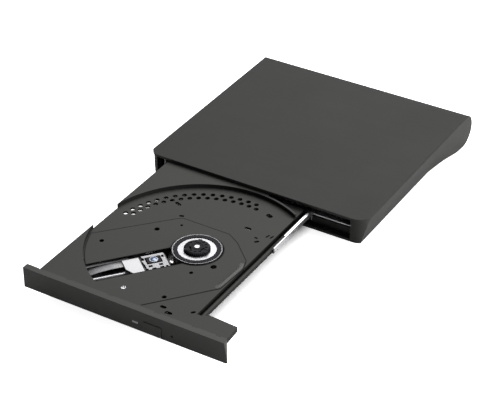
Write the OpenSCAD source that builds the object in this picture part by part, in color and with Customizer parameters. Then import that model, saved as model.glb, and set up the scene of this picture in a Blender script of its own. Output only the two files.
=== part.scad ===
// External slim disc drive, drawn with its tray run out.
// X is right seen from the front, Y runs into the case, Z is up.
// The origin is on the table, under the middle of the open drive.

/* [Case] */
// Width of the post left of the tray opening
left_post = 6; // [5.5:0.5:9]
// Width of the post right of the tray opening
right_post = 10; // [9:0.5:14]
// Depth of both front posts
post_d = 5; // [4:0.5:5]
// How far the top plate stands out over the posts
lip = 1; // [0.6:0.1:1.6]
// Thickness of the top plate
plate_t = 1.5; // [1.3:0.1:2]
// Thickness of the side walls
wall = 2.2; // [1.8:0.1:2.4]
// Thickness of the base plate
base_t = 1.6; // [1.4:0.1:2.4]
// Thickness of the rounded rear end
roll_d = 20; // [19:0.5:24]
// Room behind the drive for the bridge board and the socket
rear_room = 9.8; // [9.6:0.1:12]
// Where the underside starts to swell towards the rear end
swell_y = 98; // [90:1:104]
// Where the leaning sides start to flare out to the rear end
flare_y = 88; // [86:1:92]
// Radius of the front corners, seen from above
corner_r = 8; // [6:0.5:10]
// Radius along the top edges
edge_r = 1.6; // [1:0.1:2]
// How far the sides lean in at the bottom
lean = 3.5; // [2.5:0.1:3.8]
// Radius of the rubber feet
foot_r = 4; // [3:0.5:5]
// Thickness of the rear feet
foot_t = 0.6; // [0.4:0.1:1.5]

/* [Drive] */
// Width of the front bezel
bezel_w = 128; // [126:0.5:132]
// Height of the front bezel
bezel_h = 12.7; // [12.7:0.1:15]
// Thickness of the front bezel
bezel_t = 4; // [3.8:0.1:4.4]
// Thickness of the chassis sheet
sheet_t = 0.5; // [0.4:0.05:0.6]
// Thickness of the chassis lid
lid_t = 0.4; // [0.3:0.05:0.5]
// Room between the bezel's left end and the tray's left edge
left_room = 8.2; // [8:0.1:9]
// Width of the tray left of its middle line
tray_left = 55.8; // [55.4:0.1:56]
// Width of the tray right of its middle line
tray_right = 35.4; // [35.2:0.1:36]
// Length of the tray from the bezel's face to its rear edge
tray_d = 129.5; // [128.5:0.5:134]
// How far the tray is run out
travel = 129.5; // [110:0.5:129.5]

/* [Disc well] */
// Middle of the disc, right of the tray's middle line
disc_x = 4.9; // [4.7:0.1:5.1]
// Middle of the disc, behind the bezel's face
disc_y = 64.7; // [64.5:0.1:65.2]
// Radius of the disc well
well_r = 61.8; // [61:0.1:62]
// Depth of the disc well
well_depth = 2.5; // [2.3:0.1:2.7]
// Thickness of the well's floor
floor_t = 1.2; // [1:0.1:1.3]
// Radius of the vent holes
vent_r = 1.45; // [1:0.05:1.6]

/* [Spindle] */
// Radius of the hub that a disc's hole drops over
hub_r = 7.4; // [7.2:0.05:7.45]
// Height of the hub above the disc's seat
hub_h = 1.5; // [1.3:0.1:1.6]
// Radius of the turntable
table_r = 13.9; // [13.5:0.1:14.3]
// Radius of the motor shaft
shaft_r = 1.5; // [1.2:0.1:1.7]

/* [Pickup] */
// Direction of the pickup's way out from the hub
slot_angle = 230.2; // [229.5:0.1:230.6]
// Width of the pickup's slot
slot_w = 16.9; // [16.5:0.1:17.4]
// Distance of the lens from the hub's middle
lens_s = 24.7; // [24.4:0.1:25]
// Radius of the guide rods
rod_r = 1; // [0.8:0.05:1.1]
// How far the pickup runs outwards
sled_travel = 32; // [28:0.5:32]

/* [Front panel] */
// Width of the eject button
button_w = 11; // [9:0.5:12]
// Height of the eject button
button_h = 6; // [5:0.5:6.5]
// Travel of the eject button
button_travel = 0.6; // [0.4:0.1:0.6]

/* [Hidden] */
$fn = 64;

// Colours
case_grey = [0.29, 0.29, 0.285];
tray_grey = [0.30, 0.30, 0.29];
bezel_grey = [0.18, 0.18, 0.175];
steel = [0.72, 0.73, 0.74];
silver = [0.92, 0.92, 0.94];
white = [0.93, 0.93, 0.92];
copper = [0.72, 0.45, 0.2];
die_cast = [0.35, 0.35, 0.36];
board_green = [0.10, 0.28, 0.16];
chip_black = [0.06, 0.06, 0.065];
rubber_black = [0.05, 0.05, 0.05];
flex_grey = [0.55, 0.56, 0.56];
lens_blue = [0.45, 0.50, 0.75];

// Clearances
eps = 0.01;
slip = 0.1;
gap = 0.3;
run = 0.04;
press = 0.02;

// Heights, all measured down from the case's top face
plate_z = -plate_t;
lid_z = plate_z - lid_t;
bezel_top = plate_z - gap;
bezel_bot = bezel_top - bezel_h;
pan_bot = bezel_bot - 0.4;
pan_top = pan_bot + sheet_t;
base_bot = pan_bot - base_t;
roll_r = roll_d / 2;
case_h = roll_d + foot_t;
tray_top = lid_z - 0.4;
seat_z = tray_top - hub_h;
floor_top = tray_top - well_depth;
floor_bot = floor_top - floor_t;
deep_bot = pan_top + 0.5;
deep_top = deep_bot + 0.4;
rod_z = floor_bot - 3;
rail_hi = floor_bot + 1.4;
rail_lo = rail_hi - 2.9;
left_drop = 3.4;
wing_top = rail_lo - 2.25;
mech_top = rod_z - 2.2;
mech_bot = mech_top - 0.8;

// Plan sizes
case_w = bezel_w + left_post + right_post;
drive_x = (left_post - right_post) / 2;
pan_half = bezel_w / 2 - 1.4;
pan_front = lip + bezel_t + 1.2;
pan_rear = lip + tray_d + 1.2;
case_d = pan_rear + rear_room;
roll_y = case_d - roll_r;
open_left = -bezel_w / 2 - 0.4;
open_right = bezel_w / 2 + 0.4;
post_rear = lip + post_d;
button_out = 0.4;
tray_x = tray_left + left_room - bezel_w / 2;
lip_y = (travel - lip + button_out - case_d) / 2;
bezel_y = lip_y + lip - travel;

// Frames of reference: the case, the closed drive, its tray's track, the bezel, the tray, the hub and the
// pickup's slot
module case_frame() translate([0, lip_y, case_h]) children();
module drive_frame() translate([drive_x, lip_y, case_h]) children();
module track_frame() translate([drive_x + tray_x, lip_y, case_h]) children();
module bezel_frame() translate([drive_x, bezel_y, case_h]) children();
module tray_frame() translate([drive_x + tray_x, bezel_y, case_h]) children();
module hub_frame() tray_frame() translate([disc_x, disc_y, 0]) children();
module slot_frame() hub_frame() rotate([0, 0, slot_angle]) children();

// A block from its low corner to its high corner
module block(low, high) translate(low) cube(high - low);

// An upright rod, a ring, and a rod lying along X
module post(x, y, r, low, high) translate([x, y, low]) cylinder(r = r, h = high - low);
module ring(r_in, r_out, low, high) {
    difference() {
        post(0, 0, r_out, low, high);
        post(0, 0, r_in, low - 1, high + 1);
    }
}
module rod_x(y, z, r, low, high) translate([low, y, z]) rotate([0, 90, 0]) cylinder(r = r, h = high - low);

// A slot with round ends, along X, through a range of heights
module round_slot(x, y, length, r, low, high, turn = 0) {
    translate([x, y, 0]) rotate([0, 0, turn]) {
        block([-length / 2 + r, -r, low], [length / 2 - r, r, high]);
        post(-length / 2 + r, 0, r, low, high);
        post(length / 2 - r, 0, r, low, high);
    }
}

// Case shapes

// Height of the underside at a depth behind the lip: level, then an S up to the rear end
function swell(y) = let (u = min(max((y - swell_y) / (roll_y - swell_y), 0), 1))
    base_bot - (roll_d + base_bot) * (1 - cos(180 * u)) / 2;
swell_steps = 12;
function swell_line(rise) = [for (i = [0 : swell_steps])
    let (y = swell_y + (roll_y - swell_y) * i / swell_steps) [y, swell(y) + rise]];

// Side outline of the case, filled, as wide as asked
module side_solid(w) {
    rotate([90, 0, 90]) linear_extrude(w, center = true)
        polygon(concat([[-1, 0], [-1, base_bot]], swell_line(0), [[roll_y, 0]]));
    translate([0, roll_y, -roll_r]) rotate([0, 90, 0]) cylinder(r = roll_r, h = w, center = true);
}

// Half width of the case at a height
function half_at(z, inset) = case_w / 2 - inset - lean * (-z) / (-base_bot);
arc_steps = 6;
function edge_arc(side, inset, drop) = [for (i = [0 : arc_steps])
    let (a = 90 * (side > 0 ? arc_steps - i : i) / arc_steps, r = max(edge_r - inset, least_r))
    [side * (case_w / 2 - inset - r + r * cos(a)), -drop - r + r * sin(a)]];
least_r = 0.05;
low_z = -roll_d - 1;

// Cross outline of the case, filled, from one depth to another, with a half width at its foot
module cross_prism(inset, drop, foot_half, front, rear) {
    translate([0, rear, 0]) rotate([90, 0, 0]) linear_extrude(rear - front)
        polygon(concat(edge_arc(-1, inset, drop), edge_arc(1, inset, drop),
            [[foot_half, low_z], [-foot_half, low_z]]));
}

// The same along the whole depth: the sides lean in, and behind the flare's start they come out to upright
flare_end = roll_y - 7;
far = 200;
module cross_solid(inset, drop) {
    half = case_w / 2 - inset;
    hinge_z = -drop - max(edge_r - inset, least_r);
    lean_in = half - half_at(low_z, inset);
    down = lean_in / (hinge_z - low_z);
    back = lean_in / (flare_end - flare_y);
    cross_prism(inset, drop, half_at(low_z, inset), -2, flare_y);
    intersection() {
        cross_prism(inset, drop, half, flare_y, case_d + 1);
        between_sides(half, hinge_z, asin(down / norm([1, back, down])), atan(back));
    }
}

// Everything between two flaring side planes
module between_sides(half, hinge_z, tilt, turn) {
    intersection() {
        flare_side(half, hinge_z, tilt, turn);
        mirror([1, 0, 0]) flare_side(half, hinge_z, tilt, turn);
    }
}
module flare_side(half, hinge_z, tilt, turn) {
    translate([half, flare_y, hinge_z]) rotate([0, tilt, -turn])
        block([-far, -far, -far], [0, far, far]);
}

// Plan outline of the case with round front corners
module plan_solid(front, low, high) {
    r = corner_r;
    x = case_w / 2;
    for (side = [-1, 1]) post(side * (x - r), front + r, r, low, high);
    block([-x + r, front, low], [x - r, case_d + 1, high]);
    block([-x, front + r, low], [x, case_d + 1, high]);
}

module case_outer() {
    intersection() {
        side_solid(case_w + 2);
        cross_solid(0, 0);
        union() {
            plan_solid(0, plate_z, 1);
            plan_solid(lip, low_z, plate_z + eps);
        }
    }
}

// Hollow of the cover: open below, closed by the rear end's round wall
module case_hollow() {
    intersection() {
        cross_solid(wall, plate_t);
        union() {
            block([-case_w, post_rear, low_z - 1], [case_w, roll_y, plate_z]);
            intersection() {
                translate([0, roll_y, -roll_r]) rotate([0, 90, 0])
                    cylinder(r = roll_r - wall, h = case_w, center = true);
                block([-case_w, roll_y - 1, low_z], [case_w, case_d, plate_z]);
            }
        }
    }
    block([drive_x + open_left, -1, low_z - 1], [drive_x + open_right, post_rear + 1, plate_z]);
}

// Case screws: the right pair goes up into the cover, the left pair into the drive
screw_r = 0.9;
head_r = 1.9;
head_t = 1;
boss_r = 2.3;
boss_x = half_at(base_bot, wall + slip) - head_r - 2 * slip;
right_screws = [[boss_x, 24], [boss_x, 84]];
left_screws = [[drive_x - pan_half + 5, 24], [drive_x - pan_half + 5, 84]];

// Socket for the computer's lead
usb_w = 8.94;
usb_h = 3.26;
usb_x = 24;
usb_z = -roll_r;
module usb_outline(grow, low, high) {
    r = usb_h / 2 + grow;
    translate([usb_x, low, usb_z]) rotate([-90, 0, 0]) {
        for (side = [-1, 1]) translate([side * (usb_w - usb_h) / 2, 0, 0]) cylinder(r = r, h = high - low);
        translate([-(usb_w - usb_h) / 2, -r, 0]) cube([usb_w - usb_h, 2 * r, high - low]);
    }
}

module top_cover() {
    color(case_grey) case_frame() {
        difference() {
            union() {
                difference() {
                    case_outer();
                    case_hollow();
                }
                intersection() {
                    case_outer();
                    for (p = right_screws) post(p[0], p[1], boss_r, pan_bot, plate_z + eps);
                }
            }
            for (p = right_screws) post(p[0], p[1], screw_r + press, pan_bot - 1, pan_bot + 7);
            usb_outline(slip, case_d - 5, case_d + 1);
        }
    }
}

// The underside: a plate that follows the swell and fills the cover's open bottom
module base_plate() {
    color(case_grey) case_frame() {
        difference() {
            intersection() {
                rotate([90, 0, 90]) linear_extrude(case_w, center = true)
                    polygon(concat([[lip, base_bot + base_t], [lip, base_bot]], swell_line(0),
                        [for (i = [swell_steps : -1 : 0]) swell_line(base_t)[i]]));
                union() {
                    intersection() {
                        cross_solid(wall + slip, plate_t);
                        block([-case_w, post_rear + slip, low_z], [case_w, roll_y - slip, 0]);
                    }
                    block([drive_x + open_left + slip, lip, low_z],
                        [drive_x + open_right - slip, post_rear + 1, 0]);
                }
            }
            for (p = concat(right_screws, left_screws)) {
                post(p[0], p[1], screw_r + slip, low_z, 0);
                post(p[0], p[1], head_r + slip, low_z, base_bot + head_t);
            }
        }
        wing_support();
    }
}

// A rib on the base under the thin right wing of the drive
module wing_support() {
    x0 = drive_x + step_x + sheet_t + gap;
    x1 = drive_x + open_right - slip;
    y0 = lip + bezel_t + gap;
    block([x0, y0, pan_bot - eps], [x1, y0 + 1.4, wing_top - sheet_t - gap]);
}

front_foot_y = 14;
rear_foot_y = roll_y - foot_r - 1;
foot_x = 50;
module rubber_feet() {
    color(rubber_black) case_frame() {
        difference() {
            for (side = [-1, 1], y = [front_foot_y, rear_foot_y])
                post(side * foot_x, y, foot_r, -case_h, base_bot);
            side_solid(case_w);
        }
    }
}

module case_screws() {
    color(steel) case_frame() {
        for (p = right_screws) {
            post(p[0], p[1], head_r, base_bot, base_bot + head_t);
            post(p[0], p[1], screw_r, base_bot, pan_bot + 6);
        }
        for (p = left_screws) {
            post(p[0], p[1], head_r, base_bot, base_bot + head_t);
            post(p[0], p[1], screw_r, base_bot, pan_top);
        }
    }
}

// Socket and bridge board at the rear
bridge_y = pan_rear + 1.5;
board_t = 1;
bridge_half = 36;
bridge_low = -roll_d + 3.5;
bridge_high = -4.2;
usb_t = 0.3;

module usb_shell() {
    color(steel) case_frame() {
        difference() {
            usb_outline(0, bridge_y + board_t, case_d - 0.4);
            usb_outline(-usb_t, bridge_y + board_t + usb_t, case_d);
        }
    }
}

module usb_tongue() {
    tongue_w = 6.6;
    tongue_h = 0.7;
    color(chip_black) case_frame()
        block([usb_x - tongue_w / 2, bridge_y + board_t + usb_t, usb_z - tongue_h / 2],
            [usb_x + tongue_w / 2, case_d - 2, usb_z + tongue_h / 2]);
}

module bridge_board() {
    color(board_green) case_frame()
        block([-bridge_half, bridge_y, bridge_low], [bridge_half, bridge_y + board_t, bridge_high]);
}

// Chips on the bridge board: place along X, width and height
bridge_parts = [[-14, 7, 7], [2, 5, 5], [-25, 4, 3], [11, 3, 2]];
module bridge_chips() {
    chip_t = 1.1;
    y = bridge_y + board_t;
    color(chip_black) case_frame()
        for (c = bridge_parts)
            block([c[0] - c[1] / 2, y, usb_z - c[2] / 2], [c[0] + c[1] / 2, y + chip_t, usb_z + c[2] / 2]);
}

// Drive chassis: a steel pan with a deep part and a thin right wing, under a steel lid
step_x = tray_x + tray_right + 1.6;
wall_top = -roll_r + sqrt(pow(roll_r - wall, 2) - pow(max(pan_rear - roll_y, 0), 2)) - gap;
socket_low = [-20, lip + tray_d - 7.5, pan_top + 0.6 + board_t];
socket_high = [12, pan_rear + 0.2, pan_top + 0.6 + board_t + 4.2];
pan_boss_r = 2;
board_low = [4.6 - pan_half, lip + tray_d - 26.5, pan_top + 0.6];
board_high = [step_x - 3.6, pan_rear - sheet_t - gap, pan_top + 0.6 + board_t];
board_holes = [
    [board_low[0] + 3, board_low[1] + 3],
    [board_high[0] - 3, board_low[1] + 3],
    [board_low[0] + 3, board_high[1] - 3]
];
lid_screw_y = [lip + 19, lip + tray_d - 20.5];
lid_screw_z = lid_z - 2.4;
lid_screw_r = 0.8;
lid_slip = 0.05;

module chassis_pan() {
    color(steel) drive_frame() {
        difference() {
            union() {
                block([-pan_half, pan_front, pan_bot], [step_x + sheet_t, pan_rear, pan_top]);
                block([-pan_half, pan_front, pan_bot], [-pan_half + sheet_t, pan_rear, lid_z]);
                block([step_x, pan_front, pan_bot], [step_x + sheet_t, pan_rear, wing_top]);
                block([step_x, pan_front, wing_top - sheet_t], [pan_half, pan_rear, wing_top]);
                block([pan_half - sheet_t, pan_front, wing_top - sheet_t], [pan_half, pan_rear, lid_z]);
                block([-pan_half, pan_rear - sheet_t, pan_bot], [step_x + sheet_t, pan_rear, wall_top]);
                block([step_x, pan_rear - sheet_t, wing_top - sheet_t], [pan_half, pan_rear, wall_top]);
                for (p = board_holes) post(p[0], p[1], pan_boss_r, pan_top - eps, board_low[2]);
            }
            block([socket_low[0] - gap, pan_rear - 2, socket_low[2] - gap],
                [socket_high[0] + gap, pan_rear + 1, socket_high[2] + gap]);
            block([-pan_half - 1, roll_y - gap, wall_top], [pan_half + 1, pan_rear + 1, 0]);
            for (p = board_holes) post(p[0], p[1], screw_r + press, pan_bot - 1, 0);
            for (p = left_screws) post(p[0] - drive_x, p[1], screw_r + press, pan_bot - 1, pan_top + 1);
            for (y = lid_screw_y)
                rod_x(y, lid_screw_z, lid_screw_r + press, -pan_half - 1, pan_half + 1);
        }
    }
}

module chassis_lid() {
    x = pan_half + lid_slip;
    flange = 4;
    lid_rear = roll_y - gap;
    color(steel) drive_frame() {
        difference() {
            union() {
                block([-x - lid_t, pan_front, lid_z], [x + lid_t, lid_rear, plate_z]);
                for (side = [-1, 1])
                    translate([side * (x + lid_t / 2), 0, 0])
                        block([-lid_t / 2, pan_front, lid_z - flange], [lid_t / 2, lid_rear, plate_z]);
            }
            for (y = lid_screw_y)
                rod_x(y, lid_screw_z, lid_screw_r + press, -x - 2, x + 2);
        }
    }
}

module lid_screws() {
    head = 0.5;
    x = pan_half + lid_slip + lid_t;
    color(steel) drive_frame()
        for (y = lid_screw_y, side = [0, 1]) mirror([side, 0, 0]) {
            rod_x(y, lid_screw_z, lid_screw_r, pan_half - sheet_t, x + eps);
            rod_x(y, lid_screw_z, head_r - 0.4, x, x + head);
        }
}

module main_board() {
    color(board_green) drive_frame() {
        difference() {
            block(board_low, board_high);
            for (p = board_holes) post(p[0], p[1], screw_r + slip, board_low[2] - 1, board_high[2] + 1);
            post(tray_x + latch_pin_at[0], latch_pin_at[1] + lip, latch_pin_r + gap, board_low[2] - 1,
                board_high[2] + 1);
        }
    }
}

// Chips on the main board: middle from the board's front edge, size along X, size along Y and height
main_parts = [[-36, 11, 14, 14, 1.4], [-12, 7, 10, 8, 1.2], [24, 11, 8, 10, 1.2], [-19, 1.5, 23.4, 2.6, 1.8]];
module main_board_chips() {
    color(chip_black) drive_frame()
        for (c = main_parts)
            translate([c[0], board_low[1] + c[1], board_high[2]])
                block([-c[2] / 2, -c[3] / 2, 0], [c[2] / 2, c[3] / 2, c[4]]);
}

module board_screws() {
    color(steel) drive_frame()
        for (p = board_holes) {
            post(p[0], p[1], screw_r, pan_bot, board_high[2] + eps);
            post(p[0], p[1], head_r, board_high[2], board_high[2] + 0.8);
        }
}

module drive_socket() {
    color(chip_black) drive_frame() block(socket_low, socket_high);
}

module sata_plug() {
    inset = 1.4;
    color(chip_black) drive_frame()
        block([socket_low[0] + inset, socket_high[1], socket_low[2] + inset / 2],
            [socket_high[0] - inset, bridge_y, socket_high[2] - inset / 2]);
}

// Telescoping rails: a steel channel on each side, between the tray's ledge and a chassis guide
rail_t = 0.5;
rail_w = 1.5;
groove_w = 2.3;
groove_wall = 0.8;
ledge_out = 0.6;
ledge_low = floor_bot - 0.6;
ledge_top = floor_bot + 0.4;
right_ledge = groove_w + groove_wall + ledge_out;
left_ledge = ledge_out + slip;
rail_back = gap + 0.2 + rail_t;
right_rail_x = tray_right + right_ledge + rail_back;
left_rail_x = tray_left + left_ledge + rail_back;
rail_front = lip + 22;
flange_back = 14;
rail_rear = lip + tray_d - 5.5;
guide_front = lip + 21;
guide_rear = lip + 79;

// One rail channel: its back at x, its mouth towards the tray at the left, its top flange cut back in front
module rail_channel(x) {
    block([x - rail_t, rail_front, rail_lo], [x, rail_rear, rail_hi]);
    block([x - rail_w, rail_front, rail_lo], [x, rail_rear, rail_lo + rail_t]);
    block([x - rail_w, rail_front + flange_back, rail_hi - rail_t], [x, rail_rear, rail_hi]);
}

// One guide round a rail, standing on the chassis at height foot
module rail_guide(x, foot, back) {
    reach = rail_w - 0.2;
    lip_t = 0.6;
    block([x + gap, guide_front, foot], [x + gap + back, guide_rear, rail_hi + slip + lip_t]);
    block([x - reach, guide_front, rail_lo - slip - lip_t], [x + gap + eps, guide_rear, rail_lo - slip]);
    block([x - reach, guide_front, rail_hi + slip], [x + gap + eps, guide_rear, rail_hi + slip + lip_t]);
}

// The left rail lies lower than the right one
module left_side() track_frame() translate([0, 0, -left_drop]) mirror([1, 0, 0]) children();
module left_rail_guide() {
    back = pan_half + tray_x - sheet_t - left_rail_x - gap;
    color(chip_black) left_side() rail_guide(left_rail_x, pan_top + left_drop, back);
}
module right_rail_guide() color(chip_black) track_frame() rail_guide(right_rail_x, wing_top, 1.8);
module rail_run_out() translate([0, -travel / 2, 0]) children();
module left_rail() color(steel) left_side() rail_run_out() rail_channel(left_rail_x);
module right_rail() color(steel) track_frame() rail_run_out() rail_channel(right_rail_x);

// Pin that holds the tray's latch when the drive is shut
latch_pin_r = 1.2;
latch_pin_at = [-6, 93.4];
lever_low = floor_bot - 2.2;
lever_high = floor_bot - 1.2;
module latch_pin() {
    color(steel) track_frame()
        post(latch_pin_at[0], latch_pin_at[1] + lip, latch_pin_r, pan_top, lever_high + 0.2);
}

// Flat ribbon from the main board's connector to the tray's deep end, drawn out straight
ribbon_w = 22;
ribbon_t = 0.2;
ribbon_x = -30;
deep_rear = 88;
module flex_cable() {
    y_board = board_low[1];
    z_board = board_high[2];
    z_pan = pan_top + slip;
    y_end = lip + deep_rear - travel;
    bend = 4;
    color(flex_grey) track_frame() translate([ribbon_x, 0, 0]) rotate([90, 0, 90]) linear_extrude(ribbon_w)
        polygon([
            [y_board, z_board], [y_board, z_board + ribbon_t],
            [y_board - 1, z_board + ribbon_t], [y_board - bend, z_pan + ribbon_t],
            [y_end, z_pan + ribbon_t + 0.4], [y_end, z_pan + 0.4],
            [y_board - bend, z_pan], [y_board - 1, z_board]
        ]);
}

// Disc tray
tray_wall = 1.5;
front_wall = 1.4;
deep_right = tray_right - tray_wall;
deep_cut = [62, -34];
ear_t = 3;
ear_rear = 16.6;
rim_t = 1.2;
low_corner = 8;

// Outline of the tray's deep part, drawn in by an inset
function deep_outline(inset) = let (front = bezel_t + min(inset, front_wall)) [
    [-tray_left + inset, front], [deep_right - inset, front],
    [deep_right - inset, deep_rear - inset], [deep_cut[1] + inset / 2, deep_rear - inset],
    [-tray_left + inset, deep_cut[0] - inset / 2]
];
module deep_solid(inset, low, high)
    translate([0, 0, low]) linear_extrude(high - low) polygon(deep_outline(inset));

// Outline of the cover over the pickup, from the hub's middle: corners at the rear, the well's edge in front.
// Its corners keep their places in the well.
measured_r = 61.8;
well_k = well_r / measured_r;
cover_corners = well_k * [
    [-75, -35.2], [-25.9, 19.2], [-22.8, 21.6], [7.2, 21.5], [15.4, 16.6],
    [27.9, 4.9], [30.3, -2], [29.1, -23.1], [-14, -75], [-75, -75]
];
corner_reach = 40;
cover_front = bezel_t + front_wall + gap - disc_y;
module cover_shape(grow, low, high) {
    intersection() {
        translate([0, 0, low]) linear_extrude(high - low)
            polygon([for (p = cover_corners) p * (1 + grow / corner_reach)]);
        post(0, 0, well_r - 1 + grow, low, high);
        block([-well_r, cover_front - grow, low], [well_r, well_r, high]);
    }
}

// Vents: two staggered rows of round holes behind the hub
vent_rows = [51.2, 54.8];
vent_pitch = 5.65;
vent_first = 82;
vent_count = 16;
module vents() {
    for (row = [0, 1], i = [0 : vent_count - 1]) {
        a = vent_first + vent_pitch * (i + row / 2);
        post(vent_rows[row] * cos(a), vent_rows[row] * sin(a), vent_r, floor_bot - 1, floor_top + 1);
    }
}

// Service holes in the well's floor, from the hub's middle: place, length, radius and turn
floor_slots = [
    [-33.5, 32.7, 4.6, 1, -20], [13, 32, 4.2, 1, 0], [12.2, -51.9, 3.8, 1, 0], [17.4, -55, 4.4, 1.3, 0],
    [28, -47.8, 2.8, 0.8, 50], [23.6, 23.5, 3, 0.8, 45], [26.2, 31, 3, 0.5, 75], [28.6, 31.3, 3, 0.5, 75],
    [16.9, 48.7, 4.4, 1.4, -20], [21.5, 26.4, 2.2, 0.6, 0], [-25.2, 23.4, 3, 0.8, 20]
];
cover_holes = [
    [-29.8, 5.4, 1.5], [-49.6, -19.5, 1.3], [8.5, -19.4, 1.1], [16, -8.8, 1.7],
    [8, -44.7, 1.3], [-15, -48.7, 1.3], [-20.1, 15.5, 0.8]
];

// Rubber mounts of the pickup's chassis, from the drive's middle and the bezel's face
damper_at = [[-42, 68.5], [27, 80], [28, 20]];
damper_boss_low = mech_top + 1;
damper_boss_r = 2.2;
cover_screw_at = [[deep_right - 2.8, 34], [deep_right - 2.8, 64], [-51.6, 7.6]];
cover_boss_r = 1.6;
cover_screw_r = 0.7;

// Front panel places, from the drive's middle
button_at = [18.7, bezel_top - 8.6];
led_at = [7.85, bezel_top - 8.1];
led_size = [3.5, 1.2];
pinhole_at = [30.6, bezel_top - 8.6];
pinhole_r = 0.65;
board_face = bezel_t + front_wall + 0.8;

// Latch lever, from the drive's middle and the bezel's face
lever_pivot = [-1, 91];
lever_pin_r = 1;

// The way the pickup needs under the rim, in its slot's own frame
way_m = [-12.5, 11];
module sled_way() {
    way_end = plate_end + sled_travel + 1.5;
    intersection() {
        translate([disc_x, disc_y, 0]) rotate([0, 0, slot_angle])
            block([well_r - 4, way_m[0], floor_bot - 1], [way_end, way_m[1], tray_top - 1.6]);
        block([-tray_left + tray_wall, bezel_t + front_wall, floor_bot - 2], [tray_right, tray_d, 0]);
    }
}

module disc_tray() {
    color(tray_grey) tray_frame() {
        difference() {
            union() {
                block([-tray_left, bezel_t, floor_bot], [tray_right, tray_d, tray_top]);
                difference() {
                    deep_solid(0, deep_top, floor_bot + eps);
                    deep_solid(tray_wall, deep_top - 1, floor_bot);
                }
                tray_ledges();
                tray_ear();
                tray_bosses();
            }
            intersection() {
                post(disc_x, disc_y, well_r, floor_top, 1);
                block([-case_w, bezel_t + front_wall, floor_top], [case_w, tray_d, 1]);
            }
            translate([disc_x, disc_y, 0]) {
                cover_shape(gap, floor_bot - 1, floor_top + 1);
                vents();
                for (s = floor_slots) round_slot(s[0], s[1], s[2], s[3], floor_bot - 1, floor_top + 1, s[4]);
            }
            difference() {
                block([disc_x + low_corner, disc_y, floor_top], [tray_right + 1, tray_d + 1, 1]);
                post(disc_x, disc_y, well_r + rim_t, floor_top - 1, 2);
            }
            sled_way();
            for (p = damper_at) post(p[0], p[1], screw_r - 0.1 + press, damper_boss_low - 1, floor_bot - 0.4);
            for (p = cover_screw_at) post(p[0], p[1], cover_screw_r + press, deep_top - 1, deep_top + 4);
            translate([button_at[0], 0, button_at[1]]) block([-4.6, 0, -2.6], [4.6, board_face, 2.6]);
            translate([led_at[0], 0, led_at[1]]) block([-2, 0, -1.2], [2, board_face, 1.2]);
            post_y(pinhole_at, pinhole_r + slip, 0, board_face);
        }
    }
}

// A rod along Y at a place on the front panel
module post_y(at, r, low, high) {
    translate([at[0], low, at[1]]) rotate([-90, 0, 0]) cylinder(r = r, h = high - low);
}

// Ledges that run in the rails: a finned skirt on the left, a deep groove with a finned wall on the right
module tray_ledges() {
    left_front = 20;
    left_skirt = 1.2;
    groove_low = rail_lo - 1.1;
    groove_floor = 0.6;
    wall_x = tray_right + groove_w + groove_wall;
    translate([-tray_left, 0, -left_drop]) {
        block([0, left_front, ledge_low], [left_skirt, tray_d, floor_bot + left_drop + eps]);
        block([-left_ledge, left_front, ledge_low], [eps, tray_d, ledge_top]);
    }
    difference() {
        block([deep_right - eps, ear_rear, groove_low], [wall_x, tray_d, ledge_top]);
        block([tray_right, ear_rear + 1, groove_low + groove_floor], [tray_right + groove_w, tray_d - 1, 0]);
    }
    block([wall_x - eps, ear_rear, ledge_low], [tray_right + right_ledge, tray_d, ledge_top]);
}

// Shelf behind the right end of the bezel
module tray_ear() {
    x0 = tray_right - tray_wall;
    x1 = bezel_w / 2 - 2.8 - tray_x;
    x2 = tray_right + right_ledge;
    translate([0, 0, tray_top - ear_t]) linear_extrude(ear_t)
        polygon([[x0, bezel_t], [x1, bezel_t], [x1 - 0.6, ear_rear - 1.1], [x2, ear_rear], [x0, ear_rear]]);
    block([x0, ear_rear - 3, ledge_low], [x2, ear_rear + eps, tray_top - ear_t + eps]);
}

// Bosses under the tray for the rubber mounts, the bottom cover, the front board and the latch
module tray_bosses() {
    for (p = damper_at) post(p[0], p[1], damper_boss_r, damper_boss_low, floor_bot + eps);
    for (p = cover_screw_at) post(p[0], p[1], cover_boss_r, deep_top, floor_bot + eps);
    for (x = [3, 32]) block([x, bezel_t + front_wall - eps, deep_top + 1], [x + 1.6, board_face, floor_bot]);
    post(lever_pivot[0], lever_pivot[1], lever_pin_r, lever_low - 0.3, floor_bot + eps);
}

notch_x = [-54.5, -36.8, -9.8, 19.5, 42.4, 56.5];
flange_out = 0.7;
flange_at = 2.5;
flange_t = 0.6;

// The bezel's right end leans in at the top, is round at the bottom and tapers towards the rear
end_lean = 1.9;
end_taper = 2.6;
end_round = 1.5;
module bezel_solid() {
    w = bezel_w / 2;
    round_end = [for (i = [0 : arc_steps]) let (a = 90 * i / arc_steps)
        [w - end_round + end_round * sin(a), bezel_bot + end_round - end_round * cos(a)]];
    intersection() {
        translate([0, bezel_t, 0]) rotate([90, 0, 0]) linear_extrude(bezel_t)
            polygon(concat([[-w, bezel_bot]], round_end, [[w - end_lean, bezel_top], [-w, bezel_top]]));
        translate([0, 0, bezel_bot - 1]) linear_extrude(bezel_h + 2)
            polygon([[-w, 0], [w, 0], [w - end_taper, bezel_t], [-w, bezel_t]]);
    }
}

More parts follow.
